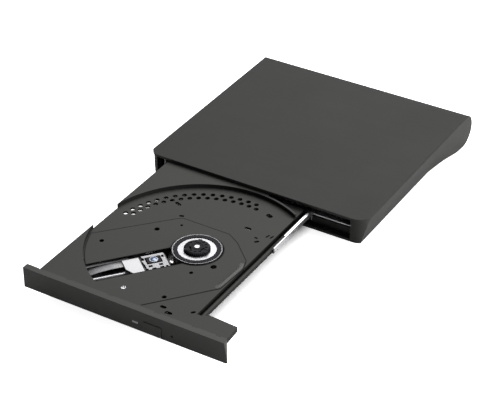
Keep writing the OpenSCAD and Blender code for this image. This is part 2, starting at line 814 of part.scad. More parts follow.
module bezel() {
    hole_w = button_w / 2 + 0.15;
    hole_h = button_h / 2 + 0.15;
    pocket = flange_out + 0.2;
    color(bezel_grey) bezel_frame() {
        difference() {
            bezel_solid();
            translate([tray_x + button_at[0], 0, button_at[1]]) {
                block([-hole_w, -1, -hole_h], [hole_w, bezel_t + 1, hole_h]);
                block([-hole_w - pocket, flange_at - slip, -hole_h - pocket],
                    [hole_w + pocket, bezel_t + 1, hole_h + pocket]);
            }
            translate([tray_x + led_at[0], 0, led_at[1]])
                block([-led_size[0] / 2 - press, -1, -led_size[1] / 2 - press],
                    [led_size[0] / 2 + press, bezel_t + 1, led_size[1] / 2 + press]);
            translate([tray_x, 0, 0]) post_y(pinhole_at, pinhole_r, -1, bezel_t + 1);
            for (x = notch_x) block([x - 1.5, bezel_t - 0.9, bezel_top - 0.5], [x + 1.5, bezel_t + 1, 0]);
        }
    }
}

module eject_button() {
    w = button_w / 2;
    h = button_h / 2;
    color(bezel_grey) tray_frame() translate([button_at[0], 0, button_at[1]]) {
        block([-w, -button_out, -h], [w, flange_at + eps, h]);
        block([-w - flange_out, flange_at, -h - flange_out],
            [w + flange_out, flange_at + flange_t, h + flange_out]);
    }
}

module led_lens() {
    color(lens_blue) tray_frame() translate([led_at[0], 0, led_at[1]])
        block([-led_size[0] / 2, 0, -led_size[1] / 2], [led_size[0] / 2, bezel_t + 0.4, led_size[1] / 2]);
}

module status_led() {
    color(silver) tray_frame() translate([led_at[0], 0, led_at[1]])
        block([-0.85, bezel_t + 0.6, -0.7], [0.85, board_face, 0.7]);
}

module front_board() {
    color(board_green) tray_frame()
        block([2, board_face, deep_top + 0.4],
            [deep_right - tray_wall - gap, board_face + 0.8, floor_bot - 0.6]);
}

module eject_switch() {
    stop = flange_at + flange_t + button_travel + 0.25;
    color(chip_black) tray_frame() {
        translate([button_at[0], 0, button_at[1]]) block([-2.7, bezel_t + 0.6, -2], [2.7, board_face, 2]);
        post_y(button_at, 1, stop, bezel_t + 0.6 + eps);
    }
}

module tray_bottom_cover() {
    color(steel) tray_frame() {
        difference() {
            deep_solid(0.3, deep_bot, deep_top);
            for (p = cover_screw_at) post(p[0], p[1], cover_boss_r + slip, deep_bot - 1, deep_top + 1);
        }
    }
}

module cover_screws() {
    color(steel) tray_frame()
        for (p = cover_screw_at) {
            post(p[0], p[1], cover_boss_r, deep_bot, deep_top);
            post(p[0], p[1], cover_screw_r, deep_bot, deep_top + 3.5);
        }
}

// Pickup unit under the well

hub_clear = 1;
slot_off = 1.25;
module traverse_cover() {
    cover_t = 0.6;
    rise = 0.2;
    low = floor_top + rise - cover_t;
    color(tray_grey) hub_frame() {
        difference() {
            cover_shape(0, low, low + cover_t);
            post(0, 0, table_r + hub_clear, low - 1, floor_top + 1);
            rotate([0, 0, slot_angle])
                translate([0, slot_off, 0])
                    block([0, -slot_w / 2, low - 1], [well_r + 9, slot_w / 2, floor_top + 1]);
            for (h = cover_holes) post(h[0], h[1], h[2], low - 1, floor_top + 1);
        }
        for (p = cover_posts) post(p[0], p[1], cover_post_r, mech_top, low + eps);
    }
}

// Posts that carry the cover on the pickup's chassis, from the hub's middle
cover_posts = well_k * [[-27, 12], [9, 18.6], [23, -24], [-50, -27]];
cover_post_r = 1.5;

chassis_outline = [
    [-46, 6.6], [-1, 6.6], [-1, 9], [31, 9], [31, 26], [22, 26], [22, 35], [29, 35], [29, 60], [22, 60],
    [22, 72], [31, 72], [31, 85], [-32, 85], [-52, 61], [-52, 13]
];
screw_m = -15.6;
motor_r = 2.6;
motor_s = [60.2, 69.2];
main_m = -10;
sub_m = 2.6;
module traverse_chassis() {
    color(steel) {
        difference() {
            tray_frame() translate([0, 0, mech_bot])
                linear_extrude(mech_top - mech_bot) polygon(chassis_outline);
            slot_frame() {
                block([18, -7.5, mech_bot - 1], [61, 8.5, mech_top + 1]);
                block([motor_s[0], screw_m - motor_r - gap, mech_bot - 1],
                    [motor_s[1] + gap, screw_m + motor_r + gap, mech_top + 1]);
            }
            tray_frame()
                for (p = damper_at) post(p[0], p[1], damper_neck_r + press, mech_bot - 1, mech_top + 1);
        }
    }
}

damper_r = 2.8;
damper_neck_r = 1.9;
module damper_bushings() {
    low = mech_bot - 0.8;
    color(rubber_black) tray_frame()
        for (p = damper_at) translate([p[0], p[1], 0]) {
            ring(screw_r - 0.1 + press, damper_r, low, mech_bot);
            ring(screw_r - 0.1 + press, damper_neck_r, mech_bot - eps, mech_top + eps);
            ring(screw_r - 0.1 + press, damper_r, mech_top, damper_boss_low);
        }
}

module damper_screws() {
    head_top = mech_bot - 0.8;
    color(steel) tray_frame()
        for (p = damper_at) {
            post(p[0], p[1], damper_boss_r, head_top - 0.5, head_top);
            post(p[0], p[1], screw_r - 0.1, head_top - 0.1, floor_bot - 0.6);
        }
}

// Spindle motor and turntable
rotor_low = mech_top + 1;
base_top = mech_top + 0.6;
sleeve_r = 3;
sleeve_top = floor_bot - 0.2;
stator_r = 10.2;
magnet_r = [10.8, 11.8];
cup_t = 0.8;
table_top = seat_z - 0.4;
table_low = table_top - 0.9;

module motor_base() {
    color(steel) hub_frame() {
        post(0, 0, 13.5, mech_top, base_top);
        ring(shaft_r + run, sleeve_r, base_top - eps, sleeve_top);
    }
}

module stator() {
    teeth = 9;
    color(copper) hub_frame() {
        difference() {
            ring(sleeve_r + press, stator_r, base_top, base_top + 3);
            for (i = [0 : teeth - 1]) rotate([0, 0, 360 / teeth * i])
                block([sleeve_r + 2.5, -0.7, base_top - 1], [stator_r + 1, 0.7, base_top + 4]);
        }
    }
}

module turntable() {
    color(silver) hub_frame() {
        ring(shaft_r + press, table_r, table_low, table_top);
        ring(table_r - 0.5, table_r, table_low, seat_z - 0.15);
        ring(magnet_r[1] + press, magnet_r[1] + press + cup_t, rotor_low, table_low + eps);
    }
}

module friction_ring() {
    color(rubber_black) hub_frame() ring(table_r - 2.4, table_r - 0.6, table_top, seat_z);
}

module rotor_magnet() {
    color(chip_black) hub_frame() ring(magnet_r[0], magnet_r[1], rotor_low, table_low);
}

module spindle_shaft() {
    color(steel) hub_frame() post(0, 0, shaft_r, base_top + slip, tray_top + 0.05);
}

claw_w = 2.3;
claw_r = [4.2, hub_r - press];
claw_first = 108;
claw_room = 0.7;
claw_low = table_top + 0.4;
module hub_chuck() {
    chamfer = 0.3;
    color(chip_black) hub_frame() {
        difference() {
            union() {
                post(0, 0, hub_r, table_top, tray_top - chamfer);
                translate([0, 0, tray_top - chamfer]) cylinder(r1 = hub_r, r2 = hub_r - chamfer, h = chamfer);
            }
            post(0, 0, shaft_r + press, table_top - 1, 0);
            for (i = [0 : 2]) rotate([0, 0, claw_first + 120 * i])
                block([claw_r[0] - claw_room, -claw_w / 2 - slip, claw_low - slip],
                    [hub_r + 1, claw_w / 2 + slip, 0]);
        }
    }
}

module chuck_claw(i) {
    color(rubber_black) hub_frame() rotate([0, 0, claw_first + 120 * i])
        intersection() {
            block([claw_r[0], -claw_w / 2, claw_low], [hub_r, claw_w / 2, tray_top - 0.25]);
            post(0, 0, claw_r[1], claw_low - 1, tray_top);
        }
}
module chuck_claw_1() chuck_claw(0);
module chuck_claw_2() chuck_claw(1);
module chuck_claw_3() chuck_claw(2);

// Pickup sled, in its slot's own frame: X runs outwards from the hub
sled_s = [17, 34];
sled_half = 8.5;
sled_top = floor_bot - 0.6;
sled_low = mech_top + 0.2;
bearing_r = 2.2;
bearings = [[17.2, 20.5], [30.5, 34]];
holder_size = [7.7, 5.2];
window = 0.6;
nut_s = [22.5, 26.5];

// The lens holder's plan, grown on every side
module holder_block(grow, low, high)
    block([lens_s - holder_size[0] / 2 - grow, -holder_size[1] / 2 - grow, low],
        [lens_s + holder_size[0] / 2 + grow, holder_size[1] / 2 + grow, high]);

module pickup_body() {
    color(die_cast) slot_frame() {
        difference() {
            union() {
                block([sled_s[0], -sled_half, sled_low], [sled_s[1], sled_half, sled_top]);
                for (b = bearings) {
                    rod_x(main_m, rod_z, bearing_r - 0.1, b[0], b[1]);
                    block([b[0], main_m, rod_z - 1.8], [b[1], -sled_half + 1, rod_z + 1.8]);
                }
            }
            rod_x(main_m, rod_z, rod_r + run, sled_s[0] - 1, sled_s[1] + 1);
            block([sled_s[0] - 1, sub_m - rod_r - gap, rod_z - rod_r - run],
                [sled_s[1] + 1, sub_m + rod_r + gap, rod_z + rod_r + run]);
            holder_block(window, sled_top - 0.8, 0);
        }
    }
}

module pickup_cover() {
    color(silver) slot_frame() {
        difference() {
            block([18, -5, sled_top], [31.5, 8, sled_top + 1.2]);
            holder_block(window, sled_top - 1, 0);
        }
    }
}

// White plate behind the lens, with one corner cut
plate_end = 41;
module pickup_plate() {
    inner = 31.8;
    cut = [3.4, 5.6];
    m = [-5.5, 8.4];
    color(white) slot_frame() translate([0, 0, sled_top]) linear_extrude(0.6)
        polygon([[inner, m[0]], [plate_end, m[0]], [plate_end, m[1] - cut[1]], [plate_end - cut[0], m[1]],
            [inner, m[1]]]);
}

module feed_nut() {
    arm_t = 0.8;
    nut_top = sled_top - 0.2;
    color(white) slot_frame() {
        difference() {
            union() {
                block([nut_s[0], screw_m - 1, nut_top - arm_t], [nut_s[1], -sled_half, nut_top]);
                block([nut_s[0], screw_m - 2, sled_low], [nut_s[1], screw_m + 2, nut_top]);
            }
            rod_x(screw_m, rod_z, lead_r + run, nut_s[0] - 1, nut_s[1] + 1);
        }
    }
}

module lens_holder() {
    color(chip_black) slot_frame() holder_block(0, sled_top, sled_top + 1.4);
}

module objective_lens() {
    lens_r = 1.9;
    dome_r = 4.2;
    low = sled_top + 1.4;
    rim = 0.15;
    color(lens_blue) slot_frame() translate([lens_s, 0, low])
        intersection() {
            cylinder(r = lens_r, h = 2);
            translate([0, 0, rim - sqrt(dome_r * dome_r - lens_r * lens_r)]) sphere(r = dome_r);
        }
}

clamp_half = 1.8;
inner_clamp = [14.2, 16.4];
main_end = 70;
sub_end = 69;
clamp_len = 2.2;
module guide_rod_main() color(steel) slot_frame() rod_x(main_m, rod_z, rod_r, inner_clamp[0], main_end);
module guide_rod_sub() color(steel) slot_frame() rod_x(sub_m, rod_z, rod_r, inner_clamp[0], sub_end);

// A block on the pickup's chassis that holds a rod's end
module rod_clamp(low, high, m, r) {
    difference() {
        block([low, m - clamp_half, mech_top], [high, m + clamp_half, rod_z + clamp_half]);
        rod_x(m, rod_z, r, low - 1, high + 1);
    }
}
module rod_clamps() {
    color(chip_black) slot_frame() {
        rod_clamp(inner_clamp[0], inner_clamp[1], main_m, rod_r + press);
        rod_clamp(inner_clamp[0], inner_clamp[1], sub_m, rod_r + press);
        rod_clamp(main_end - clamp_len, main_end, main_m, rod_r + press);
        rod_clamp(sub_end - clamp_len, sub_end, sub_m, rod_r + press);
        rod_clamp(inner_clamp[0], inner_clamp[1], screw_m, lead_r + run);
    }
}

lead_r = 1;
lead_pitch = 1.5;
module sled_motor() {
    bracket_t = 0.6;
    color(steel) slot_frame() {
        rod_x(screw_m, rod_z, motor_r, motor_s[0], motor_s[1]);
        difference() {
            block([motor_s[0] - bracket_t, screw_m - motor_r, mech_top],
                [motor_s[0] + eps, screw_m + motor_r, rod_z + motor_r]);
            rod_x(screw_m, rod_z, lead_r + gap, motor_s[0] - 2, motor_s[0] - slip);
        }
    }
}

// Feed screw: plain ends and a row of thread ridges between them
module lead_screw() {
    core = lead_r - 0.25;
    first = inner_clamp[1] + 0.5;
    last = motor_s[0] - 2;
    ridges = floor((last - first) / lead_pitch);
    color(steel) slot_frame() translate([0, screw_m, rod_z]) rotate([0, 90, 0]) rotate_extrude()
        polygon(concat([[0, inner_clamp[0]], [lead_r, inner_clamp[0]], [lead_r, first]],
            [for (i = [0 : ridges - 1], k = [0, 1])
                [k == 0 ? core : lead_r, first + lead_pitch * (i + (k == 0 ? 0.35 : 0.75))]],
            [[lead_r, last], [lead_r, motor_s[0] - 0.4], [0, motor_s[0] - 0.4]]));
}

// Flat flex from the pickup out to the chassis, in a shallow wave
module pickup_flex() {
    t = 0.15;
    flex_m = -1;
    flex_w = 5;
    foot = mech_top - sled_top;
    wave = [[34, -1.2], [40, -0.5], [46, -0.3], [50, -0.5], [54, -0.8], [58, -1.3], [61, -2.2], [62.5, foot]];
    top = [for (p = wave) [p[0], sled_top + p[1] + t]];
    low = [for (i = [len(wave) - 1 : -1 : 0]) [wave[i][0], sled_top + wave[i][1]]];
    color(flex_grey) slot_frame() translate([0, flex_m, 0]) rotate([90, 0, 0]) linear_extrude(flex_w)
        polygon(concat(top, low));
}

// Latch that holds the tray shut, worked by a small magnet
module latch_solenoid() {
    low = floor_bot - 4.8;
    color(steel) tray_frame() {
        block([8, deep_rear + 1.2, low], [20, deep_rear + 9, floor_bot]);
        rod_x(deep_rear + 5, (low + floor_bot) / 2, 1, 5.2, 8 + eps);
    }
}

module latch_lever() {
    arm = 1.2;
    nose_y = latch_pin_at[1] + latch_pin_r + 0.5;
    nose_w = 2.1;
    x = lever_pivot[0];
    color(chip_black) tray_frame() {
        difference() {
            union() {
                post(x, lever_pivot[1], lever_pin_r + arm, lever_low, lever_high);
                block([x - arm, lever_pivot[1], lever_low], [x + arm, nose_y + nose_w, lever_high]);
                block([latch_pin_at[0] - 2, nose_y, lever_low], [x + arm, nose_y + nose_w, lever_high]);
            }
            post(x, lever_pivot[1], lever_pin_r + run, lever_low - 1, lever_high + 1);
        }
    }
}

top_cover();
base_plate();
rubber_feet();
case_screws();
usb_shell();
usb_tongue();
bridge_board();
bridge_chips();
sata_plug();
chassis_pan();
chassis_lid();
lid_screws();
main_board();
main_board_chips();
board_screws();
drive_socket();
left_rail_guide();
right_rail_guide();
latch_pin();
flex_cable();
left_rail();
right_rail();
disc_tray();
bezel();
led_lens();
front_board();
eject_switch();
status_led();
tray_bottom_cover();
cover_screws();
traverse_cover();
traverse_chassis();
damper_bushings();
damper_screws();
motor_base();
stator();
guide_rod_main();
guide_rod_sub();
rod_clamps();
sled_motor();
latch_solenoid();
pickup_flex();
eject_button();
turntable();
friction_ring();
rotor_magnet();
spindle_shaft();
hub_chuck();
chuck_claw_1();
chuck_claw_2();
chuck_claw_3();
pickup_body();
pickup_cover();
pickup_plate();
feed_nut();
lens_holder();
objective_lens();
lead_screw();
latch_lever();
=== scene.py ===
"""An external disc drive with its tray run out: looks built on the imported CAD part."""

import math

import bmesh
import bpy
import numpy as np
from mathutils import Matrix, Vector


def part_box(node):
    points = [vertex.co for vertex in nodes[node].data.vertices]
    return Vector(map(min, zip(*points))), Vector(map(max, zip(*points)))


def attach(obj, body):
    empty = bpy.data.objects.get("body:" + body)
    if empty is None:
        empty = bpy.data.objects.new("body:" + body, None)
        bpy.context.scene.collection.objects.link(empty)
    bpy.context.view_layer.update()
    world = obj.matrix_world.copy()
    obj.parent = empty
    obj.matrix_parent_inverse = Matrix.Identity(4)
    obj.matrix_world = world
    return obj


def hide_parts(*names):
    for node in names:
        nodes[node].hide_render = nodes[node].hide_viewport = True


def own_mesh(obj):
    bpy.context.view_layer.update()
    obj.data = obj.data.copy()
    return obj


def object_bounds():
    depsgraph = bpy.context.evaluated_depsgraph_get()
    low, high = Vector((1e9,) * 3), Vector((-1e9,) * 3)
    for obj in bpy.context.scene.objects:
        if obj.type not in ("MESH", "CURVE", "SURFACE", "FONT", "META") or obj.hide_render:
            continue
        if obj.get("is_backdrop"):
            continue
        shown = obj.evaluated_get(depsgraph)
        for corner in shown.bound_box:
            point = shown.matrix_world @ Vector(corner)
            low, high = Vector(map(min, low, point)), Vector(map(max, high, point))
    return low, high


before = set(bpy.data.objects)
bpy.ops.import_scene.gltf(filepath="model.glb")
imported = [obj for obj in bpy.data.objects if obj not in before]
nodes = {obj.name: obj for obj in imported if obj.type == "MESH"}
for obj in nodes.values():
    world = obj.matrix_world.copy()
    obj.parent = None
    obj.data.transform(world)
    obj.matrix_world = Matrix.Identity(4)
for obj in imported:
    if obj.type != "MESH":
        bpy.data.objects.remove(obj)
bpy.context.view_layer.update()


# Case: the cover is one moulding of dark grey plastic with a fine hairline texture across its top,
# and a plain base plate closes it from below. Their edges are rounded by the mould.
mm = 0.001


def shader_group(name, inputs, outputs=("Colour", "Roughness", "Height")):
    """An empty shader node group: its inputs by name and first value, and its outputs by name.

    A value of four numbers is a colour and one of three a vector, and "Colour" alone puts out a colour.
    """
    kinds = {1: "NodeSocketFloat", 3: "NodeSocketVector", 4: "NodeSocketColor"}
    group = bpy.data.node_groups.new(name, "ShaderNodeTree")
    for socket, value in inputs.items():
        made = group.interface.new_socket(socket, in_out="INPUT", socket_type=kinds[np.size(value)])
        made.default_value = value
    for socket in outputs:
        kind = kinds[4 if socket == "Colour" else 1]
        group.interface.new_socket(socket, in_out="OUTPUT", socket_type=kind)
    return group, group.nodes.new("NodeGroupInput"), group.nodes.new("NodeGroupOutput")


def math_node(tree, operation, first, second=0.0):
    """A Math node whose inputs are sockets to link or plain numbers."""
    made = tree.nodes.new("ShaderNodeMath")
    made.operation = operation
    for socket, value in zip(made.inputs, (first, second)):
        if isinstance(value, (int, float)):
            socket.default_value = value
        else:
            tree.links.new(value, socket)
    return made.outputs[0]


def scaled(tree, colour, factor):
    """A colour socket times a value socket."""
    made = tree.nodes.new("ShaderNodeVectorMath")
    made.operation = "SCALE"
    tree.links.new(colour, made.inputs[0])
    tree.links.new(factor, made.inputs["Scale"])
    return made.outputs["Vector"]


def clamped(tree, value):
    """A value socket held between 0 and 1."""
    return math_node(tree, "MAXIMUM", math_node(tree, "MINIMUM", value, 1.0), 0.0)


def grain_group():
    """Moulding grain: fine noise plus a broad cloud, as a tint of the colour, a roughness and a height.

    tint = 1 + spread * (cloud + grain - 1), and the height is the fine grain alone. Upright faces are
    darkened as well, a painted shade of faces out of the light, by the painted wall shade value s:
    s + (1 - s) clamp((|normal z| - wall_z) / wall_blur).
    """
    cloud_scale, rough_swing, wall_z, wall_blur = 28, 0.18, 0.3, 0.4
    group, given, out = shader_group("moulding grain", {
        "Colour": (0.1, 0.1, 0.1, 1), "Spread": 0.15, "Grain": 3000.0, "Along": (1, 1, 1),
        "Painted wall shade": 1.0, "Roughness": 0.5})
    where = group.nodes.new("ShaderNodeTexCoord")
    stretch = group.nodes.new("ShaderNodeMapping")
    group.links.new(where.outputs["Object"], stretch.inputs["Vector"])
    group.links.new(given.outputs["Along"], stretch.inputs["Scale"])
    fine = group.nodes.new("ShaderNodeTexNoise")
    group.links.new(stretch.outputs["Vector"], fine.inputs["Vector"])
    group.links.new(given.outputs["Grain"], fine.inputs["Scale"])
    fine.inputs["Detail"].default_value = 2
    cloud = group.nodes.new("ShaderNodeTexNoise")
    group.links.new(where.outputs["Object"], cloud.inputs["Vector"])
    cloud.inputs["Scale"].default_value = cloud_scale
    cloud.inputs["Detail"].default_value = 3
    both = math_node(group, "ADD", fine.outputs["Fac"], cloud.outputs["Fac"])
    swing = math_node(group, "SUBTRACT", both, 1.0)
    tint = math_node(group, "ADD", math_node(group, "MULTIPLY", swing, given.outputs["Spread"]), 1.0)
    facing = group.nodes.new("ShaderNodeSeparateXYZ")
    group.links.new(group.nodes.new("ShaderNodeNewGeometry").outputs["Normal"], facing.inputs["Vector"])
    # Painted shade: faces nearer upright are darkened by the painted wall shade value.
    past_wall = math_node(group, "SUBTRACT", math_node(group, "ABSOLUTE", facing.outputs["Z"]), wall_z)
    level = clamped(group, math_node(group, "DIVIDE", past_wall, wall_blur))
    rest = math_node(group, "MULTIPLY", math_node(group, "SUBTRACT", 1.0, given.outputs["Painted wall shade"]), level)
    tint = math_node(group, "MULTIPLY", tint, math_node(group, "ADD", given.outputs["Painted wall shade"], rest))
    group.links.new(scaled(group, given.outputs["Colour"], tint), out.inputs["Colour"])
    swung = math_node(group, "MULTIPLY", swing, rough_swing)
    rough = math_node(group, "ADD", swung, given.outputs["Roughness"])
    group.links.new(rough, out.inputs["Roughness"])
    group.links.new(fine.outputs["Fac"], out.inputs["Height"])
    return group


grain = grain_group()


def finish(name, effect_group, settings, rough=None, metal=0.0, specular=0.5, bump=0.15, depth=0.03):
    """A material on an effect group: its colour and height, with the bump's depth in mm.

    Its roughness is the group's, or the one number rough where that is given.
    """
    made = bpy.data.materials.new(name)
    made.use_nodes = True
    tree = made.node_tree
    body = tree.nodes["Principled BSDF"]
    body.inputs["Metallic"].default_value = metal
    body.inputs["Specular IOR Level"].default_value = specular
    effect = tree.nodes.new("ShaderNodeGroup")
    effect.node_tree = effect_group
    for socket, value in settings.items():
        effect.inputs[socket].default_value = value
    relief = tree.nodes.new("ShaderNodeBump")
    relief.inputs["Strength"].default_value = bump
    relief.inputs["Distance"].default_value = depth * mm
    tree.links.new(effect.outputs["Colour"], body.inputs["Base Color"])
    if rough is None:
        tree.links.new(effect.outputs["Roughness"], body.inputs["Roughness"])
    else:
        body.inputs["Roughness"].default_value = rough
    tree.links.new(effect.outputs["Height"], relief.inputs["Height"])
    tree.links.new(relief.outputs["Normal"], body.inputs["Normal"])
    return made


def grained(name, colour, rough, spread=0.15, grain_size=3000.0, along=(1, 1, 1), painted_wall_shade=1.0, **rest):
    """A material on the moulding grain group."""
    settings = {"Colour": (*colour, 1), "Spread": spread, "Grain": grain_size, "Along": along,
                "Painted wall shade": painted_wall_shade, "Roughness": rough}
    return finish(name, grain, settings, **rest)


def coat(material, *names):
    """Puts a material on CAD nodes, over their whole surface."""
    for name in names:
        mesh = nodes[name].data
        mesh.materials.clear()
        mesh.materials.append(material)
        mesh.polygons.foreach_set("material_index", np.zeros(len(mesh.polygons), np.int32))


def soften(width, *names, segments=2, angle=35):
    """Rounds the sharp edges of CAD nodes: joins triangles into faces, then bevels by width in mm."""
    for name in names:
        piece = nodes[name]
        piece.data.polygons.foreach_set("use_smooth", np.ones(len(piece.data.polygons), bool))
        weld = piece.modifiers.new("join", "WELD")
        weld.merge_threshold = 1e-6
        flat = piece.modifiers.new("faces", "DECIMATE")
        flat.decimate_type = "DISSOLVE"
        flat.angle_limit = math.radians(0.5)
        edge = piece.modifiers.new("edges", "BEVEL")
        edge.width = width * mm
        edge.segments = segments
        edge.limit_method = "ANGLE"
        edge.angle_limit = math.radians(angle)
        edge.use_clamp_overlap = True
        edge.harden_normals = True
        even = piece.modifiers.new("shading", "WEIGHTED_NORMAL")
        even.keep_sharp = True


case_plastic = grained("case plastic", (0.0235, 0.0235, 0.0225), 0.5, spread=0.14, grain_size=900,
                       along=(0.03, 1, 1), bump=0.12, specular=0.03)
base_plastic = grained("base plastic", (0.014, 0.014, 0.0135), 0.6, spread=0.12, specular=0.12)
coat(case_plastic, "top_cover")
coat(base_plastic, "base_plate")
soften(0.4, "top_cover", segments=3)
soften(0.3, "base_plate")


# Feet and rubber mounts: soft black rubber pads pressed into the base, and grommets that hold the
# pickup unit's chassis on its screws.
rubber = grained("rubber", (0.010, 0.010, 0.011), 0.75, spread=0.25, grain_size=2500, specular=0.25)
coat(rubber, "rubber_feet", "damper_bushings")
soften(0.5, "rubber_feet", segments=3)


# Screws: plated steel with a cross recess in the head. The case's go up through the base, and the
# tray's hold its bottom cover.
def welded(name):
    """A CAD node's points, with those at one place joined, and its triangles as numbers of points."""
    mesh = nodes[name].data
    spots = np.empty(len(mesh.vertices) * 3)
    mesh.vertices.foreach_get("co", spots)
    corners = np.empty(len(mesh.loops), np.int32)
    mesh.loops.foreach_get("vertex_index", corners)
    places, same = np.unique(np.round(spots.reshape(-1, 3), 6), axis=0, return_inverse=True)
    return places, same.ravel()[corners].reshape(-1, 3)


def solids(name):
    """Boxes (low, high) of a CAD node's separate solids.

    Every triangle passes its corners' lowest number on to all three until nothing changes, and each
    number left is one solid.
    """
    places, corners = welded(name)
    label = np.arange(len(places))
    while True:
        lowest = np.repeat(label[corners].min(axis=1), 3)
        before = label.copy()
        np.minimum.at(label, corners.ravel(), lowest)
        if (label == before).all():
            break
    return [(places[label == k].min(axis=0), places[label == k].max(axis=0)) for k in np.unique(label)]


def grid_faces(rows, columns, closed):
    """Quads of a grid of points, rows by columns, whose columns close into a ring or not."""
    spans = columns if closed else columns - 1
    i, j = np.meshgrid(np.arange(rows - 1), np.arange(spans), indexing="ij")
    k = (j + 1) % columns
    here, above = i * columns, (i + 1) * columns
    return np.stack([here + j, here + k, above + k, above + j], axis=-1).reshape(-1, 4)


def add_piece(name, body, material, parts, sharp=35):
    """A new piece from parts (points in metres, faces), riding on a body, with its material.

    Points at one place are merged, faces turn outwards, and edges past the sharp angle stay sharp.
    """
    points, faces, start = [], [], 0
    for spots, quads in parts:
        points.append(spots)
        faces += (np.asarray(quads) + start).tolist()
        start += len(spots)
    mesh = bpy.data.meshes.new(name)
    mesh.from_pydata(np.concatenate(points).tolist(), [], faces)
    shell = bmesh.new()
    shell.from_mesh(mesh)
    bmesh.ops.remove_doubles(shell, verts=shell.verts, dist=1e-7)
    bmesh.ops.recalc_face_normals(shell, faces=shell.faces)
    shell.to_mesh(mesh)
    shell.free()
    mesh.polygons.foreach_set("use_smooth", np.ones(len(mesh.polygons), bool))
    mesh.set_sharp_from_angle(angle=math.radians(sharp))
    mesh.materials.append(material)
    made = bpy.data.objects.new(name, mesh)
    bpy.context.scene.collection.objects.link(made)
    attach(made, body)
    return made


def screw(face, up, head_r, head_t, shank_r, length, steps=48, rings=16):
    """A screw whose head's face is centred on face and looks along up, +1 or -1; sizes in metres.

    The face is a polar grid. It falls by crown (r / head_r)^4 to its rim, and dips by deep in a cross,
    which is where min(|x|, |y|) < arm and max(|x|, |y|) < reach, with a slope inside both limits.
    """
    crown, deep = 0.15 * head_t, 0.7 * head_t
    arm, arm_slope, reach, reach_slope = 0.2 * head_r, 0.08 * head_r, 0.66 * head_r, 0.1 * head_r
    turn = np.linspace(0, 2 * np.pi, steps, endpoint=False)
    radius = np.linspace(0, head_r, rings)[:, None]
    x, y = radius * np.cos(turn), radius * np.sin(turn)
    near, far = np.minimum(abs(x), abs(y)), np.maximum(abs(x), abs(y))
    cross = np.clip((arm - near) / arm_slope, 0, 1) * np.clip((reach - far) / reach_slope, 0, 1)
    z = -crown * (radius / head_r) ** 4 - deep * cross
    rows = [np.stack([x, y, z], axis=-1)]
    for r, h in ((head_r, head_t), (shank_r, head_t), (shank_r, length), (0, length)):
        rows.append(np.stack([r * np.cos(turn), r * np.sin(turn), np.full(steps, -h)], axis=-1)[None])
    spots = np.concatenate(rows).reshape(-1, 3)
    spots[:, 2] *= up
    return spots + np.asarray(face), grid_faces(rings + 4, steps, True)


bright_steel = grained("bright steel", (0.72, 0.72, 0.73), 0.26, spread=0.06, bump=0.03, metal=1.0)
for node, body, head_t, shank_r in (("case_screws", "case", 1.0, 0.9), ("cover_screws", "tray", 0.4, 0.7)):
    heads = []
    for low, high in solids(node):
        face = ((low[0] + high[0]) / 2, (low[1] + high[1]) / 2, low[2])
        heads.append(screw(face, -1, (high[0] - low[0]) / 2, head_t * mm, shank_r * mm, high[2] - low[2]))
    made = add_piece(node.replace("screws", "cross_screws"), body, bright_steel, heads)
    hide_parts(node)
coat(bright_steel, "lid_screws", "board_screws", "damper_screws", "latch_pin", "lead_screw")


# Drive chassis: a pan and a lid folded from zinc-plated steel sheet, with the faint spangle of the
# plating. The rails are folded from the same sheet.
def spangle_group():
    """Zinc plating: cells of slightly different brightness and roughness, and a fine rolling grain.

    tint = 1 + spread * (cell - 0.5 + grain - 0.5), with one random value per cell.
    """
    rolled_scale, rough_swing = 2500, 0.12
    group, given, out = shader_group("zinc spangle", {
        "Colour": (0.5, 0.5, 0.5, 1), "Spread": 0.15, "Cells": 400.0, "Roughness": 0.35})
    where = group.nodes.new("ShaderNodeTexCoord")
    cells = group.nodes.new("ShaderNodeTexVoronoi")
    group.links.new(where.outputs["Object"], cells.inputs["Vector"])
    group.links.new(given.outputs["Cells"], cells.inputs["Scale"])
    value = group.nodes.new("ShaderNodeSeparateColor")
    group.links.new(cells.outputs["Color"], value.inputs["Color"])
    rolled = group.nodes.new("ShaderNodeTexNoise")
    group.links.new(where.outputs["Object"], rolled.inputs["Vector"])
    rolled.inputs["Scale"].default_value = rolled_scale
    both = math_node(group, "ADD", value.outputs["Red"], rolled.outputs["Fac"])
    swing = math_node(group, "SUBTRACT", both, 1.0)
    tint = math_node(group, "ADD", math_node(group, "MULTIPLY", swing, given.outputs["Spread"]), 1.0)
    group.links.new(scaled(group, given.outputs["Colour"], tint), out.inputs["Colour"])
    swung = math_node(group, "MULTIPLY", swing, rough_swing)
    rough = math_node(group, "ADD", swung, given.outputs["Roughness"])
    group.links.new(rough, out.inputs["Roughness"])
    group.links.new(rolled.outputs["Fac"], out.inputs["Height"])
    return group


spangle = spangle_group()


def plated(name, colour, rough, spread=0.12, cells=400.0):
    """A metal on the zinc spangle group."""
    settings = {"Colour": (*colour, 1), "Spread": spread, "Cells": cells, "Roughness": rough}
    return finish(name, spangle, settings, metal=1.0, bump=0.04)


sheet_steel = plated("sheet steel", (0.56, 0.56, 0.57), 0.34)
rail_steel = plated("rail steel", (0.42, 0.42, 0.43), 0.34, spread=0.06)
coat(sheet_steel, "chassis_pan", "chassis_lid", "usb_shell", "sled_motor", "latch_solenoid")
dull_steel = plated("dull steel", (0.24, 0.24, 0.25), 0.5)
coat(dull_steel, "tray_bottom_cover", "traverse_chassis")
coat(rail_steel, "left_rail", "right_rail")
soften(0.08, "chassis_pan", "chassis_lid", "left_rail", "right_rail", "usb_shell", "tray_bottom_cover")
